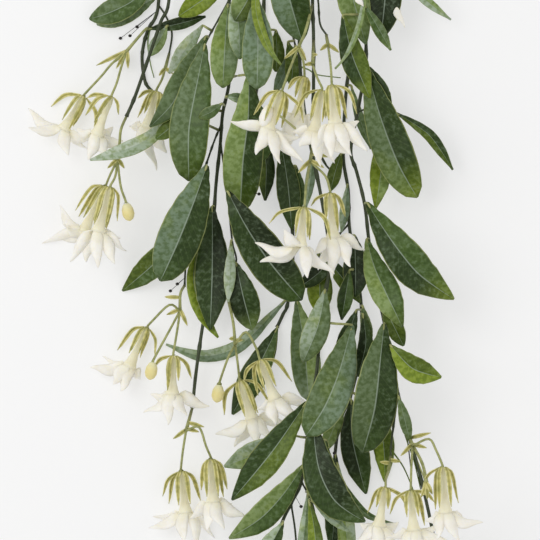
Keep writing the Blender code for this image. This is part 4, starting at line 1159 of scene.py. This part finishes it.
            # the sepals on top hug the tube almost to its mouth
            for bendRun, bendOut, run, angle, out in sepalTips:
                if abs(math.sin(angle)) > sprayLook["hug"]:
                    run, out, bendOut = min(run * 1.15, length - 0.003), out * 1.1, bendOut * 1.15
                longTips.append((bendRun, bendOut, run, angle, out))
            fineCup(sepalPiece, here, ahead, 0.0, longTips, flowerLaying["sepal"], "sepal", sepalTint, looks)
            bloomCount += 1
            bloom = Piece(f"corolla_{bloomCount:02d}")
            fineCup(bloom, here, ahead, length, lobeTips, flowerLaying["lobe"], "lobe", lobeTint, looks,
                    tubeStops)
            bloom.finish(petalCream, [f"bloom_{bloomCount:02d}"], "petal_cream", petalShape["lobeThickness"])
        for via, seat, tip in item.get("buds", ()):
            seat, tip = onPlan(seat), onPlan(tip)
            ahead = (tip - seat).normalized()
            spots = [seat + ahead * (flowerLaying["seatGap"] + flowerLaying["budLength"] * s)
                     for s in (0.0, 0.25, 0.6, 0.88, 1.0)]
            shape = coarseTube(spots, (0.0016, 0.0031, flowerLaying["budRadius"], 0.003, 0.0008), 5)
            cup = coarseTube([seat - ahead * 0.003, seat], (0.0012, 0.0022), 5)
            rise = max(pile.lift(shape), pile.lift(cup))
            stop = seat - ahead * sprayLook["short"]
            plan = [Vector((node.x, node.y, 0)), *(onPlan(p) for p in via[:-1]), Vector((stop.x, stop.y, 0))]
            cord = layCord(pile, plan, thinRadius, start=node.z, end=rise)
            for skin in (coarseTube(cord, thinRadius * 0.9), liftSkin(cup, rise), liftSkin(shape, rise)):
                pile.add(skin)
            seat.z = rise
            here = seat + planShift
            stemsPiece.tube([p + planShift for p in cord] + [here],
                            lambda v: thinRadius * (sprayLook["slender"] + sprayLook["flare"] * v ** 10),
                            greenTint, 8, 4)
            budCount += 1
            budPiece = Piece(f"closed_bud_{budCount:02d}")
            budPiece.tube([here + ahead * (flowerLaying["seatGap"] + flowerLaying["budLength"] * s)
                           for s in sprayLook["budStations"]],
                          lambda v: profile(budStops, v), budTint, 12, 3)
            budPiece.finish(budYellow, [f"bud_{budCount:02d}"], "bud_yellow")
    if len(leaves.mesh.faces):
        leaves.finish(leafGreen, [name], "leaf_green", leafShape["thickness"])
    stemsPiece.finish(stemGreen, [name], "leaf_green")
    if len(sepalPiece.mesh.faces):
        sepalPiece.finish(stemGreen, [name], "leaf_green", petalShape["sepalThickness"])
    print("laid", name)

woodPiece = Piece("woody_base_bark")
knots = [onPlan(p) + Vector((0, 0, base["radius"])) + planShift for p in base["route"]]
woodPiece.tube(knots, lambda v: base["radius"] * (1 - 0.1 * v) * (1 + 0.05 * math.sin(v * 23)),
               lambda u, v, c: tone("wood"), 18, 8)
for root, ahead in roots:
    end = root - ahead * flowerLaying["seatGap"]
    knee = end - ahead * 0.018
    knee.z = max(knee.z, stemRadius * 1.3)
    start = knots[-1] + Vector((0, 0.006, 0))
    knee, end = knee + planShift, end + planShift
    woodPiece.tube([start, start.lerp(knee, 0.55) + Vector((0, 0.004, 0)), knee, end],
                   lambda v: stemRadius * (1.5 - 0.5 * v),
                   lambda u, v, c: tone("wood").lerp(tone("stem"), v), 8, 6)
woodPiece.finish(woodBrown, ["woody_base"], "woody_stem")

berryPiece = Piece("dark_berries")
berrySize = {"radius": 0.0014, "thread": 0.0002}
# each thread starts at the stem that is nearest from above, and its berry rests on what lies below it
for place, back in berries:
    spot, root = onPlan(place), nearestOn(allStems + allSprays, onPlan(back))
    spot.z = pile.height(spot, 0.003) + berrySize["radius"]
    spot, root = spot + planShift, root + planShift
    ends = Vector((0, berrySize["radius"] * 0.86, 0))
    berryPiece.tube([spot + ends, spot + ends * 0.4, spot, spot - ends * 0.4, spot - ends],
                    lambda v: berrySize["radius"] * math.sqrt(max(0.02, 1 - (v * 2 - 1) ** 2)),
                    lambda u, v, c: tone("berry"), 8, 3)
    berryPiece.tube([root, root.lerp(spot, 0.5) + Vector((0, 0, 0.001)), spot],
                    lambda v: berrySize["thread"], lambda u, v, c: tone("stem"), 4, 4)
berryPiece.finish(stemGreen, [], "leaf_green")

# small things among the flowers: stray petals, a half-opened bud, an empty calyx
strays = {
    "petals": (((396, 3), (405, 27), 3.4), ((357, -4), (363, 7), 3.0)),
    "halfOpen": ((270, 107), (262, 128)),
    "calyxStalk": ((412, 446), (421, 462), (424, 479)), "calyxTips": ((419, 494), (425, 496), (430, 491)),
}
strayPetals = Piece("stray_petals")
for drawnFoot, drawnTip, halfPx in strays["petals"]:
    foot, tip = onPlan(drawnFoot), onPlan(drawnTip)
    foot.z = tip.z = pile.height(foot, 0.003) + 0.0006
    foot, tip = foot + planShift, tip + planShift
    side = (tip - foot).cross(Vector((0, 0, 1))).normalized()
    blade(strayPetals, foot, foot.lerp(tip, 0.5) + Vector((0, 0, 0.002)), tip,
          lambda u, foot=foot, side=side: foot + side * 0.001 * (u * 2 - 1), side, Vector((0, 0, 1)),
          halfPx * step, petalShape["lobe"], 0.5, 0.4, 6, 12, lobeTint, 0.06)
strayPetals.finish(petalCream, [], "petal_cream", petalShape["lobeThickness"])
foot, tip = (onPlan(p) for p in strays["halfOpen"])
foot.z = tip.z = pile.height(foot.lerp(tip, 0.5), 0.004) - 0.005
halfOpen = Piece("half_open_bud")
halfOpen.tube([foot.lerp(tip, s) + planShift for s in sprayLook["budStations"]],
              lambda v: profile(budStops, v), lobeTint, 12, 3)
holder = nearestOn(allSprays, foot) + planShift
bent = holder.lerp(foot + planShift, 0.5) + Vector((0, 0, 0.002))
halfOpen.tube([holder, bent, foot.lerp(tip, 0.1) + planShift], lambda v: thinRadius * 0.8, greenTint, 8, 4)
halfOpen.finish(petalCream, [], "petal_cream")
stalk = [onPlan(p) for p in strays["calyxStalk"]]
stalk[0] = nearestOn(allSprays, stalk[0])
stalk[-1].z = pile.height(stalk[-1], 0.003) + 0.0015
for k, point in enumerate(stalk[1:-1], 1):
    point.z = stalk[0].z + (stalk[-1].z - stalk[0].z) * k / (len(stalk) - 1)
emptyCalyx = Piece("empty_calyx")
emptyCalyx.tube([p + planShift for p in stalk], lambda v: thinRadius * (0.8 + 0.5 * v ** 8), greenTint, 8, 4)
foot = stalk[-1] + planShift
for drawn in strays["calyxTips"]:
    tip = onPlan(drawn) + planShift
    tip.z = foot.z
    side = (tip - foot).cross(Vector((0, 0, 1))).normalized()
    blade(emptyCalyx, foot, foot.lerp(tip, 0.45) + Vector((0, 0, 0.003)), tip,
          lambda u, foot=foot, side=side: foot + side * 0.001 * (u * 2 - 1), side, Vector((0, 0, 1)),
          flowerLaying["sepal"]["half"], petalShape["sepal"], 0.3, -0.5, 4, 8, sepalTint)
emptyCalyx.finish(stemGreen, [], "leaf_green", petalShape["sepalThickness"])

# bare twigs that twine beside the shoots, each with its tone
twigs = (
    ("o", ((395, 390), (404, 430), (414, 460), (421, 490))), ("stem", ((398, 388), (407, 436), (412, 476))),
    ("o", ((391, 450), (404, 468), (415, 494))), ("spray", ((412, 452), (425, 480), (431, 500))),
    ("l", ((153, 6), (147, 36), (149, 60), (153, 76))),
    ("l", ((299, 66), (309, 69), (318, 74), (341, 77))), ("o", ((283, 330), (276, 350), (272, 366))),
)
twigPiece = Piece("bare_twigs")
for toneName, drawn in twigs:
    route = [onPlan(p) for p in drawn]
    root = nearestOn(allStems, route[0])
    for point in route:  # a twig leaves its stem and runs on at the stem's own height
        point.z = root.z
    route[0] = root
    twigPiece.tube([p + planShift for p in route], lambda v: thinRadius * (0.62 - 0.25 * v),
                   lambda u, v, c, toneName=toneName: tone(toneName), 6, 5)
twigPiece.finish(stemGreen, [], "leaf_green")
print("blooms", bloomCount, "buds", budCount)

# floor and light
floorLook = {"size": 30.0, "colour": (0.5, 0.5, 0.5, 1.0), "glow": 0.48, "roughness": 0.9, "specular": 0.1}
floorMesh = bmesh.new()
bmesh.ops.create_grid(floorMesh, x_segments=1, y_segments=1, size=floorLook["size"])
floorData = bpy.data.meshes.new("floor")
floorMesh.to_mesh(floorData)
floorMesh.free()
floor = bpy.data.objects.new("floor", floorData)
bpy.context.scene.collection.objects.link(floor)
floorMaterial, floorTree, floorShader = startMaterial("pale_floor")
floorShader.inputs["Base Color"].default_value = floorLook["colour"]
floorShader.inputs["Roughness"].default_value = floorLook["roughness"]
floorShader.inputs["Specular IOR Level"].default_value = floorLook["specular"]
floorShader.inputs["Emission Color"].default_value = (1, 1, 1, 1)
floorShader.inputs["Emission Strength"].default_value = floorLook["glow"]
floorData.materials.append(floorMaterial)

worldLook = {"colour": (1, 1, 1, 1), "strength": 0.6}
world = bpy.data.worlds.new("studio")
bpy.context.scene.world = world
world.use_nodes = True
world.node_tree.nodes["Background"].inputs["Color"].default_value = worldLook["colour"]
world.node_tree.nodes["Background"].inputs["Strength"].default_value = worldLook["strength"]
lamps = (
    ("keySoftbox", (-1.3, 0.6, 2.2), 1.6, 22.0),
    ("fillSoftbox", (1.6, -0.4, 2.4), 1.8, 6.0),
)
for lampName, where, size, power in lamps:
    lampData = bpy.data.lights.new(lampName, "AREA")
    lampData.shape = "SQUARE"
    lampData.size = size
    lampData.energy = power
    lamp = bpy.data.objects.new(lampName, lampData)
    lamp.location = where
    lamp.rotation_euler = (-Vector(where)).to_track_quat("-Z", "Y").to_euler()
    bpy.context.scene.collection.objects.link(lamp)
